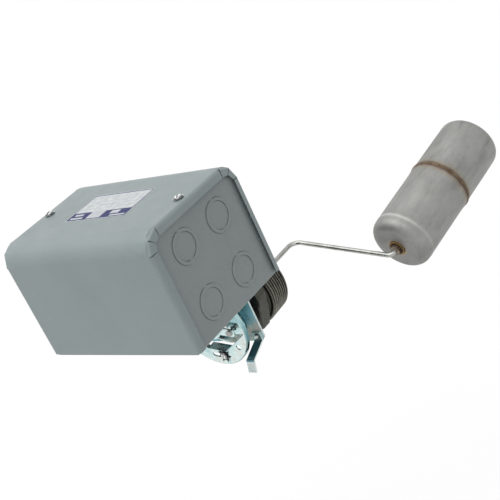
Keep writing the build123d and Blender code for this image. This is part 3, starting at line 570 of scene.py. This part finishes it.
def cover_stations():
    """Stations round the arch, and the columns where a slit parts the lip.

    A station holds its centre, its outward direction, the corner's radius, how far a
    straight facet cuts in there, its fold's radius and its lip's width.
    """
    gap = SLIT / 2
    left, right = cover_lo.x + CORNER_LEFT, cover_hi.x - CORNER_RIGHT
    left_z, right_z = cover_hi.z - CORNER_LEFT, cover_hi.z - CORNER_RIGHT
    stations, slits = [], []

    def add(x, z, turn, radius, facet, fold, lip):
        stations.append((x, z, cos(radians(turn)), sin(radians(turn)), radius, facet, fold, lip))

    def side(x, start, end, turn, radius, fold, lip):
        for index in range(SIDE_STEPS + 1):
            add(x, blend(start, end, index / SIDE_STEPS), turn, radius, 1.0, fold, lip)

    def corner(x, z, first, radius, folds, lips):
        edge = degrees(gap / radius)
        for half in (0, 1):
            slits.append(len(stations) - 1)
            start = first - 45 * half - edge
            end = first - 45 * (half + 1) + edge
            middle = first - 45 * half - 22.5
            for index in range(CORNER_STEPS + 1):
                turn = blend(start, end, index / CORNER_STEPS)
                share = (first - turn) / 90
                facet = cos(radians(22.5)) / cos(radians(turn - middle))
                add(x, z, turn, radius, facet, blend(*folds, share), blend(*lips, share))
        slits.append(len(stations) - 1)

    side(left, cover_foot, left_z - gap, 180, CORNER_LEFT, FOLD_WIDE, LIP_LEFT)
    corner(left, left_z, 180, CORNER_LEFT, (FOLD_TAB, FOLD_TAB), (LIP_LEFT, LIP_FRONT))
    for index in range(FRONT_STEPS + 1):
        share = index / FRONT_STEPS
        x = blend(left + gap, right - gap, share)
        radius = blend(CORNER_LEFT, CORNER_RIGHT, share)
        add(x, cover_hi.z - radius, 90, radius, 1.0, FOLD_WIDE, LIP_FRONT)
    corner(right, right_z, 90, CORNER_RIGHT, (FOLD_TAB, FOLD_TIGHT), (LIP_FRONT, LIP_RIGHT))
    side(right, right_z - gap, cover_foot, 0, CORNER_RIGHT, FOLD_TIGHT, LIP_RIGHT)
    return stations, slits


def end_rows(fold, lip):
    """Rows from the lip inward: inset, depth from the end, facet and thickness shares."""
    thin = LIP_SHEET / SHEET
    rows = [(lip, 0.0, 1.0, thin), (lip - LIP_EDGE, 0.0, 1.0, thin), (fold + 0.5, 0.0, 1.0, thin)]
    for step in range(FOLD_STEPS, -1, -1):
        turn = pi / 2 * step / FOLD_STEPS
        rows.append((fold * (1 - cos(turn)), fold * (1 - sin(turn)), 1.0, 1.0))
    rows += [(0.0, fold + FACET_FADE * part, facet, 1.0) for part, facet in FACET_ROWS]
    return rows


def make_cover():
    """A bent sheet whose ends fold in to a narrow lip, slit at the corners."""
    stations, slits = cover_stations()
    half = cover_hi.y
    columns = []
    for x, z, out_x, out_z, radius, facet, fold, lip in stations:
        end = end_rows(fold, lip)
        start = fold + FACET_FADE
        rows = [(inset, -half + y, weight, thick) for inset, y, weight, thick in end]
        for index in range(1, BODY_ROWS):
            y = blend(-half + start, half - start, index / BODY_ROWS)
            rows.append((0.0, y, 0.0, 1.0))
        rows += [(inset, half - y, weight, thick) for inset, y, weight, thick in reversed(end)]
        column = []
        for inset, y, weight, _ in rows:
            reach = (radius - inset) * (1 - weight * (1 - facet))
            column.append(((x + out_x * reach) * MM, y * MM, (z + out_z * reach) * MM))
        columns.append(column)
        shares = [thick for _, _, _, thick in rows]
    points = [list(row) for row in zip(*columns)]
    cut = FOLD_STEPS + 1
    last = len(points) - 2
    open_rows = [row for pair in ((row, last - row) for row in range(cut)) for row in pair]
    skip = {(row, column) for row in open_rows for column in slits}
    mesh = grid_mesh("cover_skin", points, skip=skip)
    top = max(mesh.polygons, key=lambda face: face.center.z)
    if top.normal.z < 0:
        mesh.flip_normals()
    cover = link("cover_skin", mesh)
    group = cover.vertex_groups.new(name="thickness")
    width = len(stations)
    for index in range(len(mesh.vertices)):
        group.add([index], shares[index // width], "REPLACE")
    thick = cover.modifiers.new("sheet", "SOLIDIFY")
    thick.thickness = SHEET * MM
    thick.offset = -1.0
    thick.use_even_offset = True
    thick.vertex_group = "thickness"
    thick.material_offset_rim = 1
    edge = cover.modifiers.new("edges", "BEVEL")
    edge.width = CUT_EDGE * MM
    edge.segments = 2
    edge.limit_method = "ANGLE"
    edge.angle_limit = radians(60)
    edge.harden_normals = True
    finish_piece(cover, "cover", "enclosure_paint", replaces=("cover",))
    # The sheet's rims, its cut edges, slit walls and the lip's edge, get a near-black enamel:
    # painted shade.
    shaded_cut_edges = enamel("cut_edges_painted_shade", (0.055, 0.066, 0.068), (0.085, 0.10, 0.10))
    cover.data.materials.append(shaded_cut_edges.material)


make_cover()


KNOCKOUT_XS, KNOCKOUT_ZS = (-24.5, 24.5), (26.0, 80.8)
KNOCKOUT_SHIFT = 1.9      # of their middle from the chassis's, along X
RING_INNER, RING_OUTER = 12.4, 15.4
RING_HIGH = 0.95          # above the plate
RING_TIED = 0.15          # and at the two ties
RING_SUNK = -0.6
RING_SLOPE = (0.22, 0.2)  # its rounded edges, across and down
TIE = 9.0                 # degrees over which the ring rises
RING_STEPS = 96
# Painted shade: a darker copy of the cover's enamel for the chassis and knockouts.
SHADED_PLATE = enamel("plate_enamel_painted_shade", SHADED_PLATE_LOW, SHADED_PLATE_HIGH)


def ring_profile(turn):
    """(radius, height) round the ring's section, lower at the ties above and below."""
    from_tie = abs(((turn / pi * 180) % 180) - 90)
    rise = clamp((from_tie - TIE * 0.4) / TIE)
    top = RING_TIED + (RING_HIGH - RING_TIED) * rise * rise * (3 - 2 * rise)
    across, down = RING_SLOPE
    return ((RING_INNER, RING_SUNK), (RING_INNER, top - down), (RING_INNER + across, top),
            (RING_OUTER - across, top), (RING_OUTER, top - down), (RING_OUTER, RING_SUNK))


def make_knockouts():
    """The raised ring between the two sizes of each knockout."""
    lo, hi = (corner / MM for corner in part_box("chassis"))
    centre_x = (lo.x + hi.x) / 2 + KNOCKOUT_SHIFT
    for name, end in (("knockouts_near", -1), ("knockouts_far", 1)):
        face_y = lo.y if end < 0 else hi.y
        bm = bmesh.new()
        for x, z in ((x, z) for x in KNOCKOUT_XS for z in KNOCKOUT_ZS):
            rings = []
            for step in range(RING_STEPS):
                turn = 2 * pi * step / RING_STEPS
                ring = []
                for radius, height in ring_profile(turn):
                    ring.append(bm.verts.new((
                        (centre_x + x + radius * cos(turn)) * MM,
                        (face_y + end * height) * MM,
                        (lo.z + z + radius * sin(turn)) * MM)))
                rings.append(ring)
            for step in range(RING_STEPS):
                first, second = rings[step], rings[(step + 1) % RING_STEPS]
                for index in range(len(first)):
                    after = (index + 1) % len(first)
                    bm.faces.new((first[index], first[after], second[after], second[index]))
        finish_piece(link(name, mesh_from(bm, name)), "base", "enclosure_paint", SHADED_PLATE)


make_knockouts()
dress(nodes["chassis"], SHADED_PLATE)


# --------------------------------------------------------------------- label
LABEL_BOX = (-117.7, -72.2, -34.3, 43.2)     # low and high x, then y
LABEL_RISE, LABEL_SHEET = 0.22, 0.21
LABEL_BARE = 0.8          # silver rim
LABEL_LINE = 1.2          # blue border
LABEL_BAND = 13.5         # blue band, with the rim
RULE = 0.35
RULE_STEPS = (6.5, 12.5, 18.5, 24.5)
INKS = (("label_blue", (0.022, 0.026, 0.11), (0.040, 0.046, 0.16)),
        ("label_white", (0.56, 0.58, 0.61), (0.66, 0.68, 0.71)),
        ("label_grey", (0.40, 0.41, 0.45), (0.48, 0.49, 0.53)))


def inside(x, y, boxes):
    return any(a < x < b and c < y < d for a, b, c, d in boxes)


def make_label():
    """A blank rating plate: silvered sheet with a blue band, fields and thin rules."""
    x0, x1, y0, y1 = LABEL_BOX
    band_x = x0 + LABEL_BAND
    left, right, near, far = x0 + LABEL_BARE, x1 - LABEL_BARE, y0 + LABEL_BARE, y1 - LABEL_BARE
    blue = [
        (left, left + LABEL_LINE, near, far), (right - LABEL_LINE, right, near, far),
        (left, right, near, near + LABEL_LINE), (left, right, far - LABEL_LINE, far),
        (left, band_x, near, far),
    ]
    fields = [
        (x0 + 2.2, x0 + 4.6, y0 + 3, y0 + 22), (x0 + 6.6, band_x - 1.4, y0 + 14, y0 + 25),
        (x0 + 2.2, band_x, y0 + 34, y0 + 52), (x0 + 2.6, x0 + 5.6, y1 - 20, y1 - 4),
        (x0 + 8.0, x0 + 11.0, y1 - 17, y1 - 6),
    ]
    rules = [(band_x + step, band_x + step + RULE, y0 + 7, y1 - 7) for step in RULE_STEPS]
    rules += [(band_x + RULE_STEPS[0], band_x + RULE_STEPS[-1], y, y + RULE)
              for y in (y0 + 26, y1 - 24)]
    shapes = blue + fields + rules
    xs = sorted({x0, x1, *(s[0] for s in shapes), *(s[1] for s in shapes)})
    ys = sorted({y0, y1, *(s[2] for s in shapes), *(s[3] for s in shapes)})
    rows = [[(x * MM, y * MM, (cover_hi.z + LABEL_RISE) * MM) for x in xs] for y in ys]
    mesh = grid_mesh("rating_plate", rows)
    if mesh.polygons[0].normal.z < 0:
        mesh.flip_normals()
    label = link("rating_plate", mesh)
    silver = metal("label_silver", (0.50, 0.53, 0.54), (0.70, 0.73, 0.74), 0.38, patch=0.005)
    dress(label, silver)
    inks = {}
    for name, low, high in INKS:
        label.data.materials.append(moulded(name, low, high, 0.62).material)
        inks[name] = len(label.data.materials) - 1
    for face in mesh.polygons:
        x, y = face.center.x / MM, face.center.y / MM
        if inside(x, y, fields):
            face.material_index = inks["label_white"]
        elif inside(x, y, blue):
            face.material_index = inks["label_blue"]
        elif inside(x, y, rules):
            face.material_index = inks["label_grey"]
    thick = label.modifiers.new("plate", "SOLIDIFY")
    thick.thickness = LABEL_SHEET * MM
    thick.offset = -1.0
    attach(label, "cover")


make_label()


# -------------------------------------------------------------------- screws
HEAD = ((0, 1), (0.30, 0.985), (0.55, 0.90), (0.74, 0.70), (0.83, 0.44), (0.84, 0.26),
        (0.97, 0.36), (1, 0.30), (0.96, 0.22), (0.72, 0.20), (0.72, 0))


def slotted(name, head, shank, tall, slot_turn, place, axis_out, grip):
    """A domed, slotted head with a thin collar, standing on its seat.

    HEAD gives its section in shares of the head's radius and height.
    """
    profile = [(head * across, tall * up) for across, up in HEAD]
    profile += [(shank, 0), (shank, -grip), (0, -grip)]
    turned = link(name + "_turned", lathe(name, profile, 48))
    cutter = link(name + "_cut", lathe(name + "_cut", [(0, -1), (1, -1), (1, 1), (0, 1)], 4))
    wide, deep = head * 0.15, tall * 0.56
    cutter.data.transform(Matrix.Rotation(radians(45), 4, "Z"))
    cutter.data.transform(Matrix.Diagonal((head * 1.6, wide * sqrt(2), deep, 1)))
    cutter.data.transform(Matrix.Rotation(slot_turn, 4, "Z"))
    cutter.location.z = tall * 1.12 * MM
    cut = turned.modifiers.new("slot", "BOOLEAN")
    cut.operation = "DIFFERENCE"
    cut.object = cutter
    edge = turned.modifiers.new("edges", "BEVEL")
    edge.width = head * 0.035 * MM
    edge.limit_method = "ANGLE"
    edge.angle_limit = radians(45)
    bpy.context.view_layer.update()
    graph = bpy.context.evaluated_depsgraph_get()
    mesh = bpy.data.meshes.new_from_object(turned.evaluated_get(graph))
    for spare in (turned, cutter):
        bpy.data.objects.remove(spare)
    turn = Vector(axis_out).to_track_quat("Z", "Y").to_matrix().to_4x4()
    return link(name, mesh, Matrix.Translation(Vector(place) * MM) @ turn)


def zinc_with_painted_shade(name, axis_out):
    """Bright zinc, with painted shade on the slot's walls and round the collar and a bright top."""
    finish = Finish(name, Metallic=1.0)
    # Painted shade: darker where the face turns from the screw's axis, brightest where it faces
    # along it.
    up = finish.shaken(finish.dot(finish.facing, axis_out), 0.0015, 3.0, 0.06)
    finish.use("Base Color", finish.ramp(
        finish.share(up, 0.0, 1.0),
        (0.0, (0.045, 0.05, 0.05)), (0.55, (0.12, 0.13, 0.13)),
        (0.80, (0.48, 0.49, 0.49)), (0.97, (0.80, 0.81, 0.81))))
    grain = finish.noise(0.0010, 4.0)
    finish.use("Roughness", finish.spread(grain, 0.22, 0.36))
    finish.bump(grain, 0.05, 0.0001)
    return finish


UP, BACK = (0, 0, 1), (-1, 0, 0)
COVER_HEAD = 5.0
SMALL_SCREWS = (          # node, finish, body, head, shank, height, slot, seat, grip
    ("strap_screw", "strap_zinc", "base", 3.4, 1.8, 1.95, 35, 1.98, 4.4),
    ("clamp_screw", "clamp_zinc", "float_arm", 3.5, 1.9, 2.0, 60, 2.04, 3.4))


def make_screws():
    lo, hi = (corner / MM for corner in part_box("cover_screws"))
    x = (lo.x + hi.x) / 2
    for name, y, slot in (("cover_screw_near", lo.y + COVER_HEAD, 35),
                          ("cover_screw_far", hi.y - COVER_HEAD, 20)):
        place = (x, y, cover_hi.z)
        screw = slotted(name, COVER_HEAD, 2.1, 2.95, radians(slot), place, UP, 4.3)
        finish_piece(screw, "cover", "bright_zinc", zinc_with_painted_shade(name, UP),
                     replaces=("cover_screws",))
    for node, zinc, body, head, shank, tall, slot, seat, grip in SMALL_SCREWS:
        lo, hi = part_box(node)
        middle = (lo + hi) / 2 / MM
        place = (lo.x / MM + seat, middle.y, middle.z)
        screw = slotted(node + "_head", head, shank, tall, radians(slot), place, BACK, grip)
        finish_piece(screw, body, "bright_zinc", zinc_with_painted_shade(zinc, BACK), replaces=(node,))


make_screws()


# ------------------------------------------------------------------- bushing
PITCH = 3.175             # 8 threads to the inch
CREST, ROOT = 36.5, 34.3
TAPER = 1 / 32            # radius lost along a taper pipe thread
THREAD_START, THREAD_END = -2.0, 26.0
RUN_IN = 1.15             # slope of the thread's first and last turns
RIDGE_FLAT, RIDGE_FLANK = 0.16, 0.66
HEX_FLATS = 66.0          # across
HEX_TURN = radians(180 + 17)
THREAD_STEPS, BUSHING_COLUMNS = 74, 144


def bushing_rows():
    """(x, kind, radius) from the back bore round the outside to the front bore."""
    rows = [(-38.0, "round", 10.0), (-38.0, "round", 27.4), (-37.4, "round", 28.0),
            (-32.8, "round", 28.0), (-32.0, "round", 27.2), (-32.0, "round", 23.2),
            (-31.6, "round", 22.3), (-31.0, "round", 22.0), (-23.0, "round", 22.0),
            (-22.2, "round", 22.3), (-22.0, "hex", 23.2), (-22.0, "hex", 32.4),
            (-20.8, "hex", 35.8), (-19.0, "hex", 37.6), (-9.6, "hex", 37.6),
            (-8.0, "hex", 36.4), (-6.8, "hex", 33.0), (-6.8, "round", 32.0),
            (-6.4, "round", 31.6), (-6.0, "round", 31.4), (-3.2, "round", 31.4),
            (-2.8, "round", 31.6), (-2.0, "round", 32.4)]
    for step in range(THREAD_STEPS + 1):
        x = THREAD_START + (THREAD_END - THREAD_START) * step / THREAD_STEPS
        rows.append((x, "thread", 0.0))
    rows += [(26.0, "round", 33.0), (26.0, "round", 27.6), (25.4, "round", 27.0),
             (18.8, "round", 25.1), (18.0, "round", 24.4), (18.0, "round", 15.8),
             (18.7, "round", 15.0), (25.3, "round", 13.3), (26.0, "round", 12.5),
             (26.0, "round", 6.0), (-18.0, "round", 6.0), (-18.0, "round", 10.0)]
    return rows


def thread_radius(x, turn):
    taper = max(x, 0.0) * TAPER
    phase = (x / PITCH - turn / (2 * pi)) % 1.0
    climb = clamp((abs(phase - 0.5) * 2 - RIDGE_FLAT) / RIDGE_FLANK)
    ridge = ROOT - taper + (CREST - ROOT) * climb
    return min(ridge, ROOT + 0.3 + (x - THREAD_START) * RUN_IN,
               ROOT - 0.1 + (THREAD_END - x) * RUN_IN)


def make_bushing():
    points = []
    for x, kind, radius in bushing_rows():
        row = []
        for column in range(BUSHING_COLUMNS):
            turn = HEX_TURN + 2 * pi * column / BUSHING_COLUMNS
            if kind == "thread":
                reach = thread_radius(x, turn)
            elif kind == "hex":
                off = (turn - HEX_TURN + pi / 6) % (pi / 3) - pi / 6
                reach = min(HEX_FLATS / 2 / cos(off), radius)
            else:
                reach = radius
            row.append((x * MM, reach * cos(turn) * MM, reach * sin(turn) * MM))
        points.append(row)
    mesh = grid_mesh("bushing_casting", points, wrap_rows=True, wrap_columns=True)
    bushing = link("bushing_casting", mesh)
    iron = Finish("oiled_iron", Metallic=0.85)
    cast = iron.noise(0.0035, 5.0, roughness=0.65)
    on_thread = iron.share(iron.axis("X"), -0.0030, -0.0020)
    # The thread's roots are painted near black as shade; its crests are lighter, worn metal with a
    # painted highlight.
    toward_crest = iron.share(iron.radius(0, 1, 1), (ROOT + 0.2) * MM, (CREST - 0.5) * MM)
    black = iron.ramp(cast, (0.3, (0.040, 0.040, 0.034)), (0.7, (0.095, 0.094, 0.080)))
    crest_wear_and_highlight = iron.ramp(cast, (0.3, (0.13, 0.127, 0.105)), (0.7, (0.26, 0.252, 0.214)))
    root_painted_shade = iron.ramp(cast, (0.3, (0.012, 0.012, 0.010)), (0.7, (0.035, 0.034, 0.028)))
    thread = iron.mix(toward_crest, root_painted_shade, crest_wear_and_highlight)
    iron.use("Base Color", iron.mix(on_thread, black, thread))
    iron.use("Roughness", iron.spread(cast, 0.30, 0.52))
    iron.bump(iron.noise(0.0014, 4.0), 0.15, 0.0003)
    finish_piece(bushing, "base", "black_iron", iron, replaces=("tank_bushing",))
    soften(bushing, 28)


make_bushing()


# --------------------------------------------------------------------- float
REACH, ARM, STUB = 96.3, 118.4, 10.6     # along the shaft, along the arm, into the float
LEAN, SPLAY, RISE, DROOP = radians(2.9), radians(7.9), radians(14.9), radians(10.47)
LENGTH, RADIUS, WALL = 157.0, 31.75, 0.9
WELD = LENGTH * 0.552     # from the rod end
WELD_GAP = 0.6            # from each cup's lip to the weld's middle
CUP_CORNER = 11
DIE_LINE = 15.0           # the ridge that the drawing die leaves, from the rod end; the float's painted highlight follows it
FLOAT_STEPS = 128
BEAD_STEPS, BEAD_RIPPLES, BEAD_HALF = 460, 46, 1.7


def float_matrix():
    """Places local Z along the float, with zero at its rod end."""
    arm = Vector((-sin(LEAN), -cos(LEAN), 0)) * ARM
    axis = Vector((cos(RISE) * cos(SPLAY), -cos(RISE) * sin(SPLAY), sin(RISE)))
    base = Vector((REACH, 0, 0)) + arm + axis * STUB
    droop = Matrix.Rotation(DROOP, 4, "X")
    turn = axis.to_track_quat("Z", "Y").to_matrix().to_4x4()
    return droop @ Matrix.Translation(base * MM) @ turn


def cup_profile(length, die_line=False):
    """A drawn cup, closed at zero: outside up to its lip, then back down inside."""
    outer = [(0, 0.35), (9.0, 0.30), (14.0, 0.10), (18.0, 0.0)]
    for step in range(11):
        turn = pi / 2 * step / 10
        outer.append((RADIUS - CUP_CORNER - 0.25 + CUP_CORNER * sin(turn),
                      CUP_CORNER - CUP_CORNER * cos(turn)))
    if die_line:
        outer += [(RADIUS - low, DIE_LINE + at) for at, low in
                  ((-2.5, 0.16), (-1.0, 0.02), (0.0, 0.0), (1.0, 0.0), (3.0, 0.15))]
    for share in (0.3, 0.6, 0.82, 0.88, 0.93, 0.97, 1.0):
        flare = (0.75 if die_line else 0.15) * max(0.0, (share - 0.82) / 0.18) ** 2
        outer.append((RADIUS - 0.12 + flare, CUP_CORNER + (length - CUP_CORNER) * share))
    inner = [(max(radius - WALL, 0), height) for radius, height in reversed(outer[4:])]
    return outer + inner + [(14.0, 1.0), (0, 1.2)]


def dents(turn, radius, height):
    """The slight waviness of a drawn cup."""
    return -0.04 + 0.025 * sin(3 * turn + height / 19) + 0.015 * sin(7 * turn - height / 11)


def coins(turn, radius, height):
    """Overlapping ripples of a hand-laid bead."""
    if radius <= RADIUS:
        return 0
    wave = (turn * BEAD_RIPPLES / (2 * pi) + height * height * 0.10) % 1.0
    return -0.22 * wave * (radius - RADIUS)


def bead_profile():
    foot = RADIUS + 0.2
    bead = [(RADIUS - WALL, -WELD_GAP), (foot, -WELD_GAP), (foot, -BEAD_HALF)]
    for step in range(13):
        height = -BEAD_HALF + 2 * BEAD_HALF * step / 12
        groove = 0.42 * max(0.0, 1 - abs(height) / 0.5)
        crown = 0.76 * sqrt(max(0.0, 1 - (height / BEAD_HALF) ** 2))
        bead.append((RADIUS + 0.22 + crown - groove, height))
    return bead + [(foot, BEAD_HALF), (foot, WELD_GAP), (RADIUS - WALL, WELD_GAP)]


def make_float():
    place = float_matrix()
    far_end = place @ Matrix.Translation((0, 0, LENGTH * MM)) @ Matrix.Rotation(pi, 4, "X")
    shell = tinted_float("float_shell", place, WELD * MM, DIE_LINE * MM)
    for name, node, profile, matrix in (
            ("float_shell_rod_side", "float_cup_rod_side",
             cup_profile(WELD - WELD_GAP, True), place),
            ("float_shell_far_side", "float_cup_far_side",
             cup_profile(LENGTH - WELD - WELD_GAP), far_end)):
        cup = link(name, lathe(name, profile, FLOAT_STEPS, dents), matrix)
        finish_piece(cup, "float_arm", "float_steel", shell, replaces=(node,))
    weld_place = place @ Matrix.Translation((0, 0, WELD * MM))
    bead = lathe("weld_bead", bead_profile(), BEAD_STEPS, coins)
    weld = link("weld_bead", bead, weld_place)
    burnt = Finish("burnt_bead", weld_place, Metallic=1.0)
    across = burnt.share(burnt.axis("Z"), -0.0018, 0.0018)
    # Across the bead: browns of its heat tint, with dark lines at the toes and along the middle
    # groove painted as shade.
    tint_with_shaded_groove = burnt.ramp(
        across, (0.0, (0.04, 0.03, 0.027)), (0.24, (0.13, 0.095, 0.066)),
        (0.38, (0.27, 0.205, 0.14)), (0.5, (0.03, 0.022, 0.016)), (0.62, (0.24, 0.18, 0.12)),
        (0.78, (0.11, 0.08, 0.055)), (1.0, (0.035, 0.028, 0.025)))
    spot = burnt.ramp(burnt.noise(0.006, 4.0), (0.3, (0.62, 0.58, 0.54)), (0.7, (1.15, 1.12, 1.05)))
    burnt.use("Base Color", burnt.multiply(tint_with_shaded_groove, spot))
    burnt.use("Roughness", burnt.spread(burnt.noise(0.002, 3.0), 0.28, 0.46))
    finish_piece(weld, "float_arm", "heat_tint", burnt, replaces=("float_weld",))
    soften(weld, 60)
    dress(nodes["float_boss"], shell)


make_float()


# ------------------------------------------------------------------- springs
def tube(name, points, radius, sides=8):
    """A closed tube of millimetre points, with its frame carried along."""
    rows = []
    normal = Vector((0, 0, 1))
    for index, point in enumerate(points):
        ahead = Vector(points[min(index + 1, len(points) - 1)])
        behind = Vector(points[max(index - 1, 0)])
        along = (ahead - behind).normalized()
        side = along.cross(normal).normalized()
        other = side.cross(along)
        row = []
        for step in range(sides):
            turn = 2 * pi * step / sides
            place = Vector(point) + (side * cos(turn) + other * sin(turn)) * radius
            row.append(tuple(place * MM))
        rows.append(row)
    first = [tuple(Vector(points[0]) * MM)] * sides
    last = [tuple(Vector(points[-1]) * MM)] * sides
    mesh = grid_mesh(name, [first] + rows + [last], wrap_columns=True)
    bm = bmesh.new()
    bm.from_mesh(mesh)
    bmesh.ops.remove_doubles(bm, verts=bm.verts, dist=1e-7)
    bmesh.ops.recalc_face_normals(bm, faces=bm.faces)
    bm.to_mesh(mesh)
    bm.free()
    return mesh


WIRE, COIL_TURNS, COIL_STEPS = 0.36, 5.5, 24
CLOSED, OPEN = 0.12, 0.76          # shares of the wire: flat at each end, and rising


def make_springs():
    for unit in "ab":
        node = f"contact_springs_{unit}"
        lo, hi = (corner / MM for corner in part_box(node))
        coil = (hi.x - lo.x) / 2 - WIRE
        x = (lo.x + hi.x) / 2
        total = int(COIL_TURNS * COIL_STEPS)
        for index, y in enumerate((lo.y + coil + WIRE, hi.y - coil - WIRE)):
            points = []
            for step in range(total + 1):
                turn = 2 * pi * step / COIL_STEPS
                eased = clamp((step / total - CLOSED) / OPEN)
                z = lo.z + WIRE + (hi.z - lo.z - 2 * WIRE) * eased
                points.append((x + coil * cos(turn), y + coil * sin(turn), z))
            spring = link(f"coil_{unit}_{index}", tube(f"coil_{unit}_{index}", points, WIRE))
            finish_piece(spring, f"carrier_{unit}", "rod_steel", replaces=(node,))
            soften(spring, 60)


make_springs()


# ------------------------------------------- finishes of bracket, strap, disc
# The bracket's edges and folds, from facing down to facing up: painted shade, then a painted
# highlight on those that face up.
EDGE_SHADE_AND_HIGHLIGHT = ((0.05, (0.10, 0.22, 0.24)), (0.40, (0.66, 0.78, 0.78)),
               (0.95, (0.88, 0.93, 0.92)))
# The strap's edges, lighter where they face up: painted light.
STRAP_EDGE_PAINTED_LIGHT = ((0.0, (0.70, 0.78, 0.78)), (1.0, (0.86, 0.91, 0.90)))
STRAP_TIP_Z = -0.0342     # where the strap's tip is bent, in metres
# Bands up the bracket: the beige and blue are the chromate's own tones; the darkening to teal
# toward the top is painted shade.
BRACKET_TONES_AND_SHADE = (
    (-0.050, (0.50, 0.68, 0.68)), (-0.038, (0.55, 0.72, 0.71)), (-0.030, (0.62, 0.60, 0.55)),
    (-0.025, (0.58, 0.60, 0.56)), (-0.021, (0.40, 0.64, 0.68)), (-0.015, (0.32, 0.66, 0.78)),
    (-0.007, (0.20, 0.48, 0.55)), (0.004, (0.14, 0.36, 0.41)))
# Bands down the strap, all painted light: the slope is painted dark as shade, the line at the bend
# is a painted highlight, and the tip below is painted lighter.
STRAP_PAINTED_LIGHT_BANDS = (
    (-0.047, (0.55, 0.63, 0.62)), (STRAP_TIP_Z - 0.0016, (0.62, 0.68, 0.67)),
    (STRAP_TIP_Z - 0.0008, (0.80, 0.86, 0.86)), (STRAP_TIP_Z, (0.14, 0.28, 0.32)),
    (-0.030, (0.12, 0.25, 0.29)), (-0.0265, (0.09, 0.20, 0.235)), (-0.0245, (0.30, 0.44, 0.46)))
dress(nodes["mounting_bracket"], plated_sheet(
    "bracket_chromate_and_painted_shade", (), EDGE_SHADE_AND_HIGHLIGHT, along=(0.0, 0.45, 1.0), wobble=0.002, satin=0.35,
    bands=BRACKET_TONES_AND_SHADE))
dress(nodes["index_strap"], plated_sheet(
    "strap_chromate_painted_light", (), STRAP_EDGE_PAINTED_LIGHT, along=(0, 0, 1.0), wobble=0.0003, satin=0.15, edges="Y",
    bands=STRAP_PAINTED_LIGHT_BANDS))
dress(nodes["disc_hub"], FINISHES["bright_zinc"])
dress(nodes["gland_nut"], FINISHES["bright_zinc"])


TEETH, TOOTH_SHEET, WASHER_BORE = 7, 0.45, 2.4
TOOTH = ((5.0, 0.0), (5.2, 0.05), (7.6, 0.9), (5.2, 0.35))     # (reach, bend) round one tooth


def make_star_washer():
    """A lock washer with long bent points."""
    lo, hi = (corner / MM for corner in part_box("star_washer"))
    middle_y, middle_z = (lo.y + hi.y) / 2, (lo.z + hi.z) / 2
    count = TEETH * len(TOOTH)
    shape = [(2 * pi * index / count + 0.35, *TOOTH[index % len(TOOTH)]) for index in range(count)]
    back, front = (([(turn, WASHER_BORE, level) for turn, _, _ in shape],
                    [(turn, reach, level + bend) for turn, reach, bend in shape])
                   for level in (0.0, TOOTH_SHEET))
    rows = [back[0], back[1], front[1], front[0]]
    points = [[((hi.x - 0.02 - level) * MM, (middle_y + reach * cos(turn)) * MM,
                (middle_z + reach * sin(turn)) * MM) for turn, reach, level in row]
              for row in rows]
    mesh = grid_mesh("toothed_washer", points, wrap_rows=True, wrap_columns=True)
    washer = link("toothed_washer", mesh)
    finish_piece(washer, "float_arm", "dark_steel", replaces=("star_washer",))


make_star_washer()
